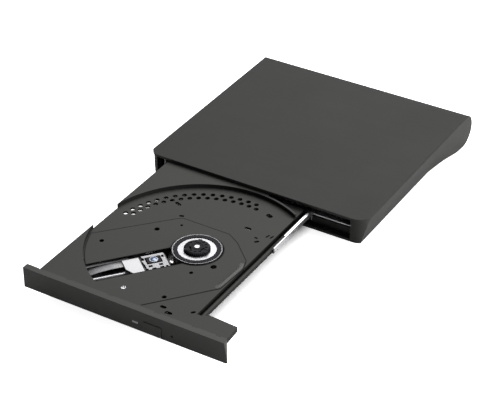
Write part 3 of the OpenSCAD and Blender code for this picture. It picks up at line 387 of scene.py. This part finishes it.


# Mouth of the chassis: the pan's sheet is sheared off at the front along the step for the tray's thin
# wing, and a thin near-white strip on its bare edge is a painted highlight.
def box_part(low, high):
    """The eight corners and six faces of a box from low to high, in metres."""
    low, high = np.asarray(low, float), np.asarray(high, float)
    spots = np.array([[(low, high)[k][0], (low, high)[j][1], (low, high)[i][2]]
                      for i in (0, 1) for j in (0, 1) for k in (0, 1)])
    return spots, [(0, 1, 3, 2), (4, 5, 7, 6), (0, 1, 5, 4), (2, 3, 7, 6), (0, 2, 6, 4), (1, 3, 7, 5)]


pan_low, pan_high = (np.array(corner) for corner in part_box("chassis_pan"))
pan_points = welded("chassis_pan")[0]
hair = 5e-6
mouth = pan_points[abs(pan_points[:, 1] - pan_low[1]) < hair]
sheet_t, edge_t, web_h = 0.5 * mm, 0.03 * mm, 4.5 * mm
wing_low = mouth[abs(mouth[:, 0] - pan_high[0]) < hair][:, 2].min()
wing_x = mouth[abs(mouth[:, 2] - wing_low - sheet_t) < hair][:, 0].min()
edge_front, edge_back = pan_low[1] - edge_t, pan_low[1]
step_edge = box_part((wing_x, edge_front, wing_low), (pan_high[0] - sheet_t, edge_back, wing_low + sheet_t))
web_edge = box_part((wing_x, edge_front, wing_low - web_h), (wing_x + sheet_t, edge_back, wing_low))
# Painted highlight: the edge strip is near white, brighter than the bare steel would show.
sheared = grained("sheared edge", (0.85, 0.85, 0.86), 0.4, spread=0.1, bump=0.05)
add_piece("sheared_edge_painted_highlight", "case", sheared, [step_edge, web_edge])


# Right rail's stop: a small black moulded tip on the rail's front end, which meets the tray's wall when
# the tray is fully out.
black_plastic = grained("black plastic", (0.008, 0.008, 0.0085), 0.45, spread=0.2, specular=0.3)
rail_low, rail_high = (np.array(corner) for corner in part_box("right_rail"))
tip_inside, tip_outside, tip_ahead, tip_behind = 0.55 * mm, 0.2 * mm, 0.5 * mm, 0.7 * mm
tip_low = (rail_high[0] - tip_inside, rail_low[1] - tip_ahead, rail_low[2])
tip_high = (rail_high[0] + tip_outside, rail_low[1] + tip_behind, rail_high[2])
add_piece("rail_stop", "right_rail", black_plastic, [box_part(tip_low, tip_high)])


# Plastic inside the case: rail guides, sockets, chips, clamps and the latch lever, moulded in black.
# They are clipped, screwed or soldered to the sheet metal and the boards.
coat(black_plastic, "usb_tongue", "bridge_chips", "main_board_chips", "sata_plug", "drive_socket",
     "left_rail_guide", "right_rail_guide", "eject_switch", "rod_clamps", "latch_lever", "rotor_magnet")


# Rear socket's contacts: twelve gold-plated strips on each face of the tongue, moulded into it, which
# the mating plug wipes.
gold = grained("gold plating", (0.9, 0.62, 0.22), 0.25, spread=0.05, bump=0.02, metal=1.0)
tongue_low, tongue_high = (np.array(corner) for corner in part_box("usb_tongue"))
contact_w, contact_t, contact_l, contact_n = 0.25 * mm, 0.03 * mm, 4.2 * mm, 12
contact_side, contact_end = 0.5 * mm, tongue_high[1] - 0.3 * mm
strips = []
for middle in np.linspace(tongue_low[0] + contact_side, tongue_high[0] - contact_side, contact_n):
    for base in (tongue_low[2] - contact_t, tongue_high[2]):
        strips.append(box_part((middle - contact_w / 2, contact_end - contact_l, base),
                               (middle + contact_w / 2, contact_end, base + contact_t)))
add_piece("usb_contacts", "case", gold, strips)


# Boards: glass-fibre boards under green solder mask, with copper tracks that show through it. Chips,
# plugs and the drive's own socket are soldered to them.
def blended(tree, share, first, second):
    """A colour socket between two others: first + share * (second - first)."""
    made = tree.nodes.new("ShaderNodeMix")
    made.data_type = "RGBA"
    for socket, value in (("Factor", share), ("A", first), ("B", second)):
        tree.links.new(value, made.inputs[socket])
    return made.outputs["Result"]


def track_group():
    """Copper tracks under solder mask: stripes along X or along Y, by squares of a checker.

    track = sin(2 pi u / pitch) > level, where u is x on light squares and y on dark ones.
    """
    pitch, level, square_scale = 0.9 * mm, 0.35, 130
    group, given, out = shader_group(
        "board tracks", {"Mask": (0.01, 0.05, 0.02, 1), "Track": (0.03, 0.12, 0.05, 1)}, ("Colour", "Height"))
    where = group.nodes.new("ShaderNodeTexCoord")
    axes = group.nodes.new("ShaderNodeSeparateXYZ")
    group.links.new(where.outputs["Object"], axes.inputs["Vector"])
    squares = group.nodes.new("ShaderNodeTexChecker")
    group.links.new(where.outputs["Object"], squares.inputs["Vector"])
    squares.inputs["Scale"].default_value = square_scale
    waves = []
    for axis in ("X", "Y"):
        phase = math_node(group, "MULTIPLY", axes.outputs[axis], 2 * math.pi / pitch)
        waves.append(math_node(group, "SINE", phase))
    change = math_node(group, "SUBTRACT", waves[0], waves[1])
    wave = math_node(group, "ADD", math_node(group, "MULTIPLY", change, squares.outputs["Fac"]), waves[1])
    track = math_node(group, "GREATER_THAN", wave, level)
    colour = blended(group, track, given.outputs["Mask"], given.outputs["Track"])
    group.links.new(colour, out.inputs["Colour"])
    group.links.new(track, out.inputs["Height"])
    return group


board_green = finish("solder mask", track_group(), {}, rough=0.3, bump=0.3, depth=0.02)
coat(board_green, "bridge_board", "main_board", "front_board")


# Ribbons: flat flexes of grey film with printed conductors. One runs from the main board to the tray's
# deep end and one from the pickup to its chassis.
def smooth_line(points, per_span=12):
    """A Hermite line through points p, whose slope m at each is half the chord between its neighbours.

    p(t) = (2t^3 - 3t^2 + 1) p0 + (t^3 - 2t^2 + t) m0 + (-2t^3 + 3t^2) p1 + (t^3 - t^2) m1
    """
    p = np.asarray(points, float)
    m = np.gradient(p, axis=0)
    t = np.linspace(0, 1, per_span, endpoint=False)[:, None]
    spans = [(2 * t ** 3 - 3 * t ** 2 + 1) * p[i] + (t ** 3 - 2 * t ** 2 + t) * m[i]
             + (-2 * t ** 3 + 3 * t ** 2) * p[i + 1] + (t ** 3 - t ** 2) * m[i + 1]
             for i in range(len(p) - 1)]
    return np.concatenate(spans + [p[-1:]])


def stripe_group():
    """Conductors in a film: bands across the ribbon, from the ribbon's own U coordinate.

    band = sin(2 pi n u) > 0, and the film's colour is mixed with the conductor's by its share.
    """
    group, given, out = shader_group(
        "film conductors", {"Film": (0.2, 0.2, 0.2, 1), "Conductor": (0.3, 0.3, 0.3, 1), "Count": 16.0},
        ("Colour", "Height"))
    where = group.nodes.new("ShaderNodeUVMap")
    axes = group.nodes.new("ShaderNodeSeparateXYZ")
    group.links.new(where.outputs["UV"], axes.inputs["Vector"])
    turn = math_node(group, "MULTIPLY", axes.outputs["X"], 2 * math.pi)
    turns = math_node(group, "MULTIPLY", turn, given.outputs["Count"])
    band = math_node(group, "GREATER_THAN", math_node(group, "SINE", turns), 0.0)
    colour = blended(group, band, given.outputs["Film"], given.outputs["Conductor"])
    group.links.new(colour, out.inputs["Colour"])
    group.links.new(band, out.inputs["Height"])
    return group


stripes = stripe_group()


def ribbon(name, body, material, line, across, width, thick):
    """A ribbon of a width and thickness along a line of points, reaching across from the line.

    Each point of the line gives four corners, two below and two above, and the UV runs 0 to 1 across.
    """
    line, across = np.asarray(line), np.asarray(across, float)
    corners = [line, line + across * width, line + across * width + (0, 0, thick), line + (0, 0, thick)]
    spots = np.stack(corners, axis=1).reshape(-1, 3)
    last = len(spots) - 4
    ends = [[3, 2, 1, 0], [last, last + 1, last + 2, last + 3]]
    faces = grid_faces(len(line), 4, True).tolist() + ends
    made = add_piece(name, body, material, [(spots, faces)])
    mesh = made.data
    places = np.empty(len(mesh.vertices) * 3)
    mesh.vertices.foreach_get("co", places)
    share = (places.reshape(-1, 3) - line[0]) @ across / width
    corner = np.empty(len(mesh.loops), np.int32)
    mesh.loops.foreach_get("vertex_index", corner)
    flat = np.zeros((len(corner), 2))
    flat[:, 0] = share[corner]
    mesh.uv_layers.new(name="across").data.foreach_set("uv", flat.ravel())
    return made


film = finish("ribbon film", stripes,
              {"Film": (0.07, 0.07, 0.07, 1), "Conductor": (0.12, 0.12, 0.12, 1), "Count": 24.0},
              rough=0.4, bump=0.2, depth=0.02, specular=0.3)
flex_low, flex_high = (np.array(corner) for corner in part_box("flex_cable"))
ribbon_t, bend, run_points = 0.2 * mm, 4 * mm, 12
board_y, level = flex_high[1], flex_high[2] - ribbon_t
board_end = np.array([(board_y, level), (board_y - 0.3 * bend, level), (board_y - bend, flex_low[2])])
run = np.linspace(board_end[-1], (flex_low[1], flex_low[2] + 2 * ribbon_t), run_points)[1:]
path = smooth_line(np.concatenate([board_end, run]))
main_ribbon = ribbon("main_ribbon", "case", film, np.insert(path, 0, flex_low[0], axis=1), (1, 0, 0),
                     flex_high[0] - flex_low[0], ribbon_t)
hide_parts("flex_cable")
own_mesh(main_ribbon)

shaft_low, shaft_high = (np.array(corner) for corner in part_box("spindle_shaft"))
hub = ((shaft_low + shaft_high) / 2)[:2]
slot_turn = math.radians(230.2)
slot_out = np.array([math.cos(slot_turn), math.sin(slot_turn), 0])
slot_side = np.array([-math.sin(slot_turn), math.cos(slot_turn), 0])


def in_slot(s, m, z):
    """Points at s mm out from the hub along the pickup's slot, m mm to its side, z metres up."""
    s, m, z = np.broadcast_arrays(np.asarray(s, float), m, z)
    flat = s[..., None] * slot_out * mm + m[..., None] * slot_side * mm
    return flat + np.array([hub[0], hub[1], 0]) + z[..., None] * np.array([0, 0, 1.0])


pickup_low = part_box("pickup_flex")[0]
sled_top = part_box("pickup_cover")[0][2]
foot = (pickup_low[2] - sled_top) / mm
turn_s, foot_s, fold_short = 50, 62.5, 0.2
flex_m, flex_w, flex_t = -1.0, 5 * mm, 0.15 * mm
wave = smooth_line([(34, -1.2), (40, -0.5), (46, -0.3), (turn_s, -0.5), (54, -0.8), (58, -1.3),
                    (61, -2.2), (foot_s, foot)])
flex_line = in_slot(wave[:, 0], flex_m, np.maximum(sled_top + wave[:, 1] * mm, pickup_low[2]))
pickup_film = finish("pickup film", stripes,
                     {"Film": (0.11, 0.11, 0.115, 1), "Conductor": (0.15, 0.15, 0.155, 1), "Count": 12.0},
                     rough=0.35, bump=0.15, depth=0.02)
pickup_ribbon = ribbon("pickup_ribbon", "tray", pickup_film, flex_line[wave[:, 0] <= turn_s],
                       -slot_side, flex_w, flex_t)
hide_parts("pickup_flex")
tuple(in_slot(turn_s - fold_short, 0, pickup_low[2]))
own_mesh(pickup_ribbon)
ribbon_tail = ribbon("ribbon_tail", "tray", pickup_film, flex_line[wave[:, 0] >= turn_s],
                     -slot_side, flex_w, flex_t)
tuple(in_slot(foot_s, 0, pickup_low[2]))
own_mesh(ribbon_tail)


# Disc tray and the cover over the pickup unit: moulded in the case's plastic with a spark-eroded matt
# grain. A rounded bead stiffens the cover's free edge beside the right rail.
# Painted shade: upright faces of tray and cover take 0.35 of the colour, standing in for their shade.
tray_plastic = grained("tray plastic", (0.035, 0.035, 0.0335), 0.55, spread=0.14, grain_size=2600,
                       painted_wall_shade=0.35, bump=0.12, specular=0.03)
coat(tray_plastic, "disc_tray", "traverse_cover")
soften(0.3, "disc_tray")
soften(0.5, "traverse_cover")


def bead(points, half, rise, base, columns=9):
    """A bead along a level line of points in mm from the hub, which runs out to nothing at both ends.

    z = base + rise cos(u pi / 2) sin(v pi), with u from -1 to 1 across and v from 0 to 1 along.
    """
    line = smooth_line(points)
    ahead = np.gradient(line, axis=0)
    side = np.stack([-ahead[:, 1], ahead[:, 0]], axis=1) / np.linalg.norm(ahead, axis=1)[:, None]
    u = np.linspace(-1, 1, columns)
    ends = np.sin(np.linspace(0, np.pi, len(line)))
    flat = hub + (line[:, None] + side[:, None] * (u * half)[None, :, None]) * mm
    height = base + rise * mm * np.cos(u * np.pi / 2)[None, :] * ends[:, None]
    spots = np.concatenate([flat, height[..., None]], axis=-1)
    return spots.reshape(-1, 3), grid_faces(len(line), columns, False)


cover_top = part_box("traverse_cover")[1][2]
edge_line = [(27.4, 2.0), (28.6, -2.4), (28.5, -8.0), (28.2, -14.0), (27.8, -20.0), (26.8, -24.0)]
bead_half, bead_rise, bead_sunk = 1.3, 0.5, 0.01 * mm
# Painted highlight: the bead's plastic is a shade lighter than the cover's, and also glossier, so its edge
# reads as a streak of light.
bead_highlight_plastic = grained("bead plastic", (0.04, 0.04, 0.038), 0.5, spread=0.14, grain_size=2600,
                       bump=0.1, specular=0.12)
add_piece("cover_bead", "tray", bead_highlight_plastic,
          [bead(edge_line, bead_half, bead_rise, cover_top - bead_sunk)], sharp=80)


# Seam round the cover: the cover's edge drops into a rebate of the tray's floor, and a near-black band
# laid in the narrow gap between them is a painted shadow.
def outline(name, height):
    """The longest boundary of a node's level faces at a height, counter-clockwise, in metres.

    An edge of one level triangle only is on a boundary, and each boundary is walked from edge to edge.
    """
    places, corners = welded(name)
    level = corners[(abs(places[corners][:, :, 2] - height) < hair).all(axis=1)]
    edges = np.concatenate([level[:, [0, 1]], level[:, [1, 2]], level[:, [2, 0]]])
    first, count = np.unique(np.sort(edges, axis=1), axis=0, return_index=True, return_counts=True)[1:]
    ahead = dict(edges[first[count == 1]].tolist())
    loops = []
    while ahead:
        start, at = ahead.popitem()
        loop = [start]
        while at != start:
            loop.append(at)
            at = ahead.pop(at)
        loops.append(places[loop])
    return max(loops, key=lambda loop: np.ptp(loop, axis=0).sum())


def band(loop, near, far, low, high):
    """A band outside a closed loop, between two distances from it and two heights, in metres.

    Each point moves along the bisector's normal, (t_y, -t_x) for the mean direction t of its two edges.
    """
    step = np.roll(loop, -1, axis=0)[:, :2] - loop[:, :2]
    step /= np.linalg.norm(step, axis=1)[:, None]
    mean = step + np.roll(step, 1, axis=0)
    mean /= np.linalg.norm(mean, axis=1)[:, None]
    away = np.stack([mean[:, 1], -mean[:, 0]], axis=1)
    rows = [np.column_stack([loop[:, :2] + away * d, np.full(len(loop), z)])
            for d, z in ((near, low), (near, high), (far, high), (far, low), (near, low))]
    return np.concatenate(rows), grid_faces(len(rows), len(loop), True)


# Painted shadow: a near-black band standing in for the shade in the gap round the cover.
seam_painted_shadow = grained("seam_shadow_band", (0.011, 0.011, 0.0105), 0.7, spread=0.1, specular=0.05)
seam_in, seam_out, seam_low, seam_high = -0.05 * mm, 0.45 * mm, cover_top - 0.2 * mm, cover_top + 0.02 * mm
seam_shadow_band = band(outline("traverse_cover", cover_top), seam_in, seam_out, seam_low, seam_high)
add_piece("cover_seam_painted_shadow", "tray", seam_painted_shadow, [seam_shadow_band])


# Skew screw: a ground steel screw on the pickup's chassis, reached through a hole in the cover. Turning
# it levels the rod.
chassis_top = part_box("traverse_chassis")[1][2]
skew_r, skew_t, skew_shank_r = 1.8 * mm, 0.5 * mm, 0.8 * mm
skew_face = (hub[0] - 15.2 * mm, hub[1] - 48.5 * mm, cover_top - 0.05 * mm)
ground_steel = grained("ground steel", (0.3, 0.3, 0.31), 0.5, spread=0.06, bump=0.03, metal=1.0)
add_piece("skew_screw", "tray", ground_steel,
          [screw(skew_face, 1, skew_r, skew_t, skew_shank_r, skew_face[2] - chassis_top)])


# Bezel and eject button: matt mouldings that clip onto the tray's front. The status light's lens is a
# smoked pin with a small lamp behind it.
bezel_plastic = grained("bezel plastic", (0.036, 0.036, 0.0345), 0.55, spread=0.14, grain_size=2600,
                        bump=0.1, specular=0.08)
coat(bezel_plastic, "bezel", "eject_button")
soften(0.4, "bezel", segments=3)
soften(0.25, "eject_button")
smoked = grained("smoked lens", (0.2, 0.2, 0.205), 0.25, spread=0.02, bump=0.0, specular=0.3)
coat(smoked, "led_lens")
lamp_white = grained("lamp", (0.6, 0.62, 0.6), 0.3, spread=0.02, bump=0.0)
coat(lamp_white, "status_led")


# Spindle: a turned aluminium table with a rubber grip ring, on a motor whose magnet ring runs round
# copper windings. The motor's plate carries an amber flex.
def turned_group():
    """Lathe marks: rings about the spindle's axis, r = |p - axis|, with height sin(2 pi r / pitch).

    The tint follows the marks and falls by rim_drop where r passes the rim, which is left unpolished.
    """
    rim_drop, mark_swing = 0.67, 0.05
    group, given, out = shader_group("lathe marks", {
        "Colour": (0.8, 0.8, 0.8, 1), "Axis": (0, 0, 0), "Pitch": 0.2 * mm, "Rim": 1.0, "Roughness": 0.25})
    where = group.nodes.new("ShaderNodeTexCoord")
    from_axis = group.nodes.new("ShaderNodeVectorMath")
    from_axis.operation = "SUBTRACT"
    group.links.new(where.outputs["Object"], from_axis.inputs[0])
    group.links.new(given.outputs["Axis"], from_axis.inputs[1])
    across = group.nodes.new("ShaderNodeVectorMath")
    across.operation = "MULTIPLY"
    across.inputs[1].default_value = (1, 1, 0)
    group.links.new(from_axis.outputs["Vector"], across.inputs[0])
    radius = group.nodes.new("ShaderNodeVectorMath")
    radius.operation = "LENGTH"
    group.links.new(across.outputs["Vector"], radius.inputs[0])
    turn = math_node(group, "MULTIPLY", radius.outputs["Value"], 2 * math.pi)
    mark = math_node(group, "SINE", math_node(group, "DIVIDE", turn, given.outputs["Pitch"]))
    past_rim = math_node(group, "GREATER_THAN", radius.outputs["Value"], given.outputs["Rim"])
    level = math_node(group, "SUBTRACT", 1.0, math_node(group, "MULTIPLY", past_rim, rim_drop))
    swung = math_node(group, "MULTIPLY", mark, mark_swing)
    tint = math_node(group, "ADD", swung, level)
    group.links.new(scaled(group, given.outputs["Colour"], tint), out.inputs["Colour"])
    rough = math_node(group, "ADD", swung, given.outputs["Roughness"])
    group.links.new(rough, out.inputs["Roughness"])
    group.links.new(mark, out.inputs["Height"])
    return group


lathe_marks = turned_group()
turned_silver = finish("turned silver", lathe_marks,
                       {"Colour": (0.2, 0.2, 0.207, 1), "Axis": (*hub, 0), "Pitch": 0.25 * mm,
                        "Rim": 13.55 * mm, "Roughness": 0.38}, metal=0.85, bump=0.1, depth=0.01)
centred_steel = finish("centred steel", lathe_marks,
                       {"Colour": (0.4, 0.4, 0.41, 1), "Axis": (*hub, 0), "Pitch": 0.4 * mm,
                        "Rim": 1.0 * mm, "Roughness": 0.3}, metal=1.0, bump=0.1, depth=0.01)
coat(centred_steel, "spindle_shaft")
coat(turned_silver, "turntable")
soften(0.1, "turntable")
ring_rubber = grained("ring rubber", (0.010, 0.010, 0.0125), 0.7, spread=0.25, grain_size=2500,
                      specular=0.08)


def turned_part(s, profile, steps=96):
    """A ring turned about the upright line at s mm along the slot, from a closed profile.

    The profile is of (r, z), in mm and metres, and each of its points sweeps a full circle.
    """
    turn = np.linspace(0, 2 * np.pi, steps, endpoint=False)
    rows = [in_slot(s + r * np.cos(turn), r * np.sin(turn), z) for r, z in (*profile, profile[0])]
    return np.concatenate(rows), grid_faces(len(rows), steps, True)


ring_low, ring_high = (corner[2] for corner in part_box("friction_ring"))
grip_in, grip_out, grip_round = 10.7, 13.2, 0.15
shoulder = ring_high - grip_round * mm
grip_profile = [(grip_in, ring_low), (grip_in, shoulder), (grip_in + grip_round, ring_high),
                (grip_out - grip_round, ring_high), (grip_out, shoulder), (grip_out, ring_low)]
grip = add_piece("grip_ring", "spindle", ring_rubber, [turned_part(0, grip_profile)])
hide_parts("friction_ring")
copper = grained("copper wire", (0.6, 0.25, 0.1), 0.4, spread=0.15, metal=1.0)
coat(copper, "stator")
amber = grained("amber film", (0.07, 0.022, 0.008), 0.35, spread=0.15, specular=0.4)
coat(amber, "motor_base")


# Hub: a black moulded boss pressed on the shaft, with three slots for the sprung claws, shallow pockets
# between them and a toothed rim that grips the disc's edge.
def hub_boss(low, high, claws=(108, 228, 348), steps=360, rings=36):
    """The boss as a polar grid round the shaft, in metres.

    Its top falls by a flattened quarter round, flatness round_r (1 - sqrt(1 - bend outer^2)), over the
    outer round_r. It dips in a groove and in three pockets between two claws, and drops to the slot's
    floor where a claw runs. The rim is tooth shallower, by outer^2, wherever sin(teeth turn) > 0.
    """
    boss_r, bore_r, round_r, flatness, bend = 7.38, 1.53, 2.0, 0.55, 0.98
    slot_in, slot_half, slot_floor = 3.5, 1.25, low + 0.3 * mm
    teeth, tooth = 40, 0.3
    groove_at, groove_half, groove_deep = 3.0, 0.25, 0.15 * mm
    pocket_at, pocket_r, pocket_deep, pocket_turn = 5.0, 0.75, 0.35 * mm, 30
    turn = np.linspace(0, 2 * np.pi, steps, endpoint=False)
    radius = np.linspace(bore_r, boss_r, rings)[:, None] + 0 * turn
    outer = np.clip((radius - boss_r + round_r) / round_r, 0, 1)
    radius = radius - tooth * outer ** 2 * (np.sin(teeth * turn) > 0)
    x, y = radius * np.cos(turn), radius * np.sin(turn)
    z = high - flatness * round_r * mm * (1 - np.sqrt(1 - bend * outer ** 2))
    z = z - groove_deep * (abs(radius - groove_at) < groove_half)
    for pocket in (claw + pocket_turn * k for claw in claws for k in (1, 2, 3)):
        a = math.radians(pocket)
        off = np.hypot(x - pocket_at * math.cos(a), y - pocket_at * math.sin(a))
        z = z - pocket_deep * (off < pocket_r)
    for claw in claws:
        a = math.radians(claw)
        out, side = x * math.cos(a) + y * math.sin(a), y * math.cos(a) - x * math.sin(a)
        z = np.where((out > slot_in) & (abs(side) < slot_half), slot_floor, z)
    face = np.stack([x * mm + hub[0], y * mm + hub[1], z], axis=-1)
    inner, wall = face[:1].copy(), face[-1:].copy()
    inner[..., 2] = low
    wall[..., 2] = low
    rows = np.concatenate([inner, face, wall, inner])
    return rows.reshape(-1, 3), grid_faces(rings + 3, steps, True)


boss_low, boss_high = (corner[2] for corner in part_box("hub_chuck"))
hub_plastic = grained("hub plastic", (0.005, 0.005, 0.0065), 0.6, spread=0.3, specular=0.08)
boss = add_piece("hub_boss", "spindle", hub_plastic,
                 [hub_boss(boss_low, boss_high)], sharp=30)
coat(hub_plastic, "chuck_claw_1", "chuck_claw_2", "chuck_claw_3", "lens_holder")
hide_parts("hub_chuck")


# Pickup: a black-passivated die-cast body on two ground rods, under a punched bright cover and a white
# plate. The lens rides in a black holder with a pale rim, and small screws hold the rods' clamps.
def punched(s_range, m_range, holes, low, high):
    """A flat plate in the slot's frame with holes ((s0, s1), (m0, m1)) in mm, as a closed shell.

    The edges of plate and holes cut it into cells. A cell stays if its middle is in no hole, and it
    has a wall wherever its neighbour is missing.
    """
    lines = []
    for axis, (first, last) in enumerate((s_range, m_range)):
        cuts = [v for hole in holes for v in hole[axis]]
        lines.append(np.unique(np.clip([first, last, *cuts], first, last)))
    middle = [(line[1:] + line[:-1]) / 2 for line in lines]
    keep = np.ones((len(middle[0]), len(middle[1])), bool)
    for (s0, s1), (m0, m1) in holes:
        in_s, in_m = (middle[0] > s0) & (middle[0] < s1), (middle[1] > m0) & (middle[1] < m1)
        keep &= ~(in_s[:, None] & in_m[None])
    s, m = np.meshgrid(*lines, indexing="ij")
    spots = np.concatenate([in_slot(s, m, z).reshape(-1, 3) for z in (low, high)])
    columns, layer = len(lines[1]), s.size
    framed = np.pad(keep, 1)
    faces = []
    for i, j in np.argwhere(keep):
        a, b = i * columns + j, (i + 1) * columns + j
        corners = [a, b, b + 1, a + 1]
        faces += [corners, [c + layer for c in corners]]
        sides = ((a, b), (b, b + 1), (b + 1, a + 1), (a + 1, a))
        beyond = (framed[i + 1, j], framed[i + 2, j + 1], framed[i + 1, j + 2], framed[i, j + 1])
        for (p, q), there in zip(sides, beyond):
            if not there:
                faces.append([p, q, q + layer, p + layer])
    return spots, faces


silver = grained("bright cover", (0.15, 0.15, 0.157), 0.4, spread=0.04, bump=0.02, metal=0.6)
lens_s, window_s, window_m = 24.7, 4.45, 3.2
cover_s, cover_m = (18, 31.1), (-5, 8)
cover_low, cover_high = (corner[2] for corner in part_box("pickup_cover"))
window = ((lens_s - window_s, lens_s + window_s), (-window_m, window_m))
small_cuts = [((29.4, 31.2), (-3.0, -1.0)), ((18.4, 19.9), (-3.0, -1.0)), ((26.6, 29.0), (4.2, 6.0)),
              ((20.9, 23.1), (4.2, 6.0))]
edge_cuts = [((29.6, 32), (6.8, 9)), ((25.4, 27.6), (7.0, 9)), ((21.0, 23.2), (7.0, 9)),
             ((18.5, 20.0), (7.0, 9)), ((30.4, 32), (-6, -3.6)), ((29.9, 32), (-3.6, -2.2)),
             ((30.7, 32), (0.2, 2.4)), ((30.3, 32), (2.4, 6.8))]
holes = [window, *small_cuts, *edge_cuts]
punched_cover = add_piece("punched_cover", "sled", silver,
                          [punched(cover_s, cover_m, holes, cover_low, cover_high)])
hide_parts("pickup_cover")

die_cast = grained("passivated die-cast", (0.012, 0.012, 0.013), 0.5, spread=0.25, grain_size=1500,
                   specular=0.3)
coat(die_cast, "pickup_body")
white_plastic = grained("white plastic", (0.36, 0.36, 0.37), 0.4, spread=0.04)
coat(white_plastic, "pickup_plate", "feed_nut")
coat(ground_steel, "guide_rod_main", "guide_rod_sub")
soften(0.08, "pickup_plate", "pickup_body")

lens_glass = grained("coated lens", (0.05, 0.08, 0.15), 0.08, spread=0.02, bump=0.0, specular=0.7)
coat(lens_glass, "objective_lens")
holder_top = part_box("lens_holder")[1][2]
rim_in, rim_out, rim_h, rim_round = 1.95, 2.45, 0.25, 0.1
rim_profile = [(r, holder_top + h * mm) for r, h in
               ((rim_in, 0), (rim_in, rim_h), (rim_out - rim_round, rim_h), (rim_out, rim_h - rim_round),
                (rim_out, 0))]
rim_white = grained("lens rim", (0.22, 0.25, 0.3), 0.35, spread=0.03)
add_piece("lens_rim", "lens", rim_white, [turned_part(lens_s, rim_profile)])

clamp_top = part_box("rod_clamps")[1][2]
clamp_s, clamp_m = 15.3, (-10, 2.6)
clamp_r, clamp_t, clamp_shank_r, clamp_l = 1.1 * mm, 0.35 * mm, 0.5 * mm, 1.2 * mm
clamp_screws = [screw(in_slot(clamp_s, m, clamp_top + clamp_t), 1, clamp_r, clamp_t, clamp_shank_r, clamp_l)
                for m in clamp_m]
add_piece("clamp_screws", "tray", sheet_steel, clamp_screws)


# Floor, light and camera: a white paper floor, lighted well past white, a large soft light above and behind,
# and a card on the right. The paper also glows white to the camera alone, a painted light over the
# shadows on it, except in a rectangle under the drive, which stays darker as painted shade. The camera
# stands where the photograph was taken from.
floor_half = 3
floor_mesh = bpy.data.meshes.new("floor")
floor_mesh.from_pydata([(-floor_half, -floor_half, 0), (floor_half, -floor_half, 0),
                        (floor_half, floor_half, 0), (-floor_half, floor_half, 0)], [], [(0, 1, 2, 3)])
floor = bpy.data.objects.new("floor", floor_mesh)
scene = bpy.context.scene
scene.collection.objects.link(floor)
paper = grained("paper", (0.93, 0.93, 0.93), 0.9, spread=0.01, grain_size=300, bump=0.0, specular=0.0)
floor_mesh.materials.append(paper)


def under(tree, x_range, y_range, blur):
    """A mask that is 1 inside a rectangle of the floor and falls to 0 at its sides.

    mask = clamp(min over x and y of (half - |p - middle|) / blur), in metres.
    """
    axes = tree.nodes.new("ShaderNodeSeparateXYZ")
    tree.links.new(tree.nodes.new("ShaderNodeTexCoord").outputs["Object"], axes.inputs["Vector"])
    rooms = []
    for axis, (first, last) in (("X", x_range), ("Y", y_range)):
        off = math_node(tree, "ABSOLUTE", math_node(tree, "SUBTRACT", axes.outputs[axis], (first + last) / 2))
        rooms.append(math_node(tree, "DIVIDE", math_node(tree, "SUBTRACT", (last - first) / 2, off), blur))
    return clamped(tree, math_node(tree, "MINIMUM", rooms[0], rooms[1]))


# Painted light and shade: the camera-only glow covers the floor's shadows, and the rectangle under the drive
# without glow is painted shade.
glow, shade_x, shade_y, shade_blur = 0.88, (-0.07, 0.036), (-0.118, 0.13), 0.008
paper_tree = paper.node_tree
glow_outside_shade = math_node(paper_tree, "SUBTRACT", 1.0, under(paper_tree, shade_x, shade_y, shade_blur))
seen = paper_tree.nodes.new("ShaderNodeLightPath").outputs["Is Camera Ray"]
sheet = paper_tree.nodes["Principled BSDF"]
sheet.inputs["Emission Color"].default_value = (1, 1, 1, 1)
strength = math_node(paper_tree, "MULTIPLY", math_node(paper_tree, "MULTIPLY", seen, glow_outside_shade), glow)
paper_tree.links.new(strength, sheet.inputs["Emission Strength"])
floor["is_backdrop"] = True

scene.view_settings.view_transform = "Standard"
world = bpy.data.worlds.new("studio")
world.use_nodes = True
world.node_tree.nodes["Background"].inputs["Color"].default_value = (1, 1, 1, 1)
world.node_tree.nodes["Background"].inputs["Strength"].default_value = 0.22
scene.world = world


def softbox(name, place, aim, size, power):
    """A square area light at place, pointing at aim, in metres and watts."""
    data = bpy.data.lights.new(name, "AREA")
    data.size = size
    data.energy = power
    made = bpy.data.objects.new(name, data)
    made.location = place
    made.rotation_euler = (Vector(aim) - Vector(place)).to_track_quat("-Z", "Y").to_euler()
    scene.collection.objects.link(made)
    made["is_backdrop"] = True


softbox("overhead", place=(-0.15, 0.9, 1.15), aim=(0, 0, 0), size=1.3, power=46)
softbox("right card", place=(1.3, 0.3, 0.4), aim=(0, 0, 0), size=0.8, power=32)

azimuth, elevation, distance = math.radians(30.997), math.radians(34.047), 0.942198
target = Vector((0.011106, -0.028, 0.0206))
back = Vector((math.sin(azimuth) * math.cos(elevation), -math.cos(azimuth) * math.cos(elevation),
               math.sin(elevation)))
lens_data = bpy.data.cameras.new("camera")
lens_data.sensor_width = 36
focal_px, picture_px = 1690.18, 500
lens_data.lens = focal_px / picture_px * lens_data.sensor_width
camera = bpy.data.objects.new("camera", lens_data)
camera.location = target + back * distance
camera.rotation_euler = (-back).to_track_quat("-Z", "Y").to_euler()
scene.collection.objects.link(camera)
scene.camera = camera

low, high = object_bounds()
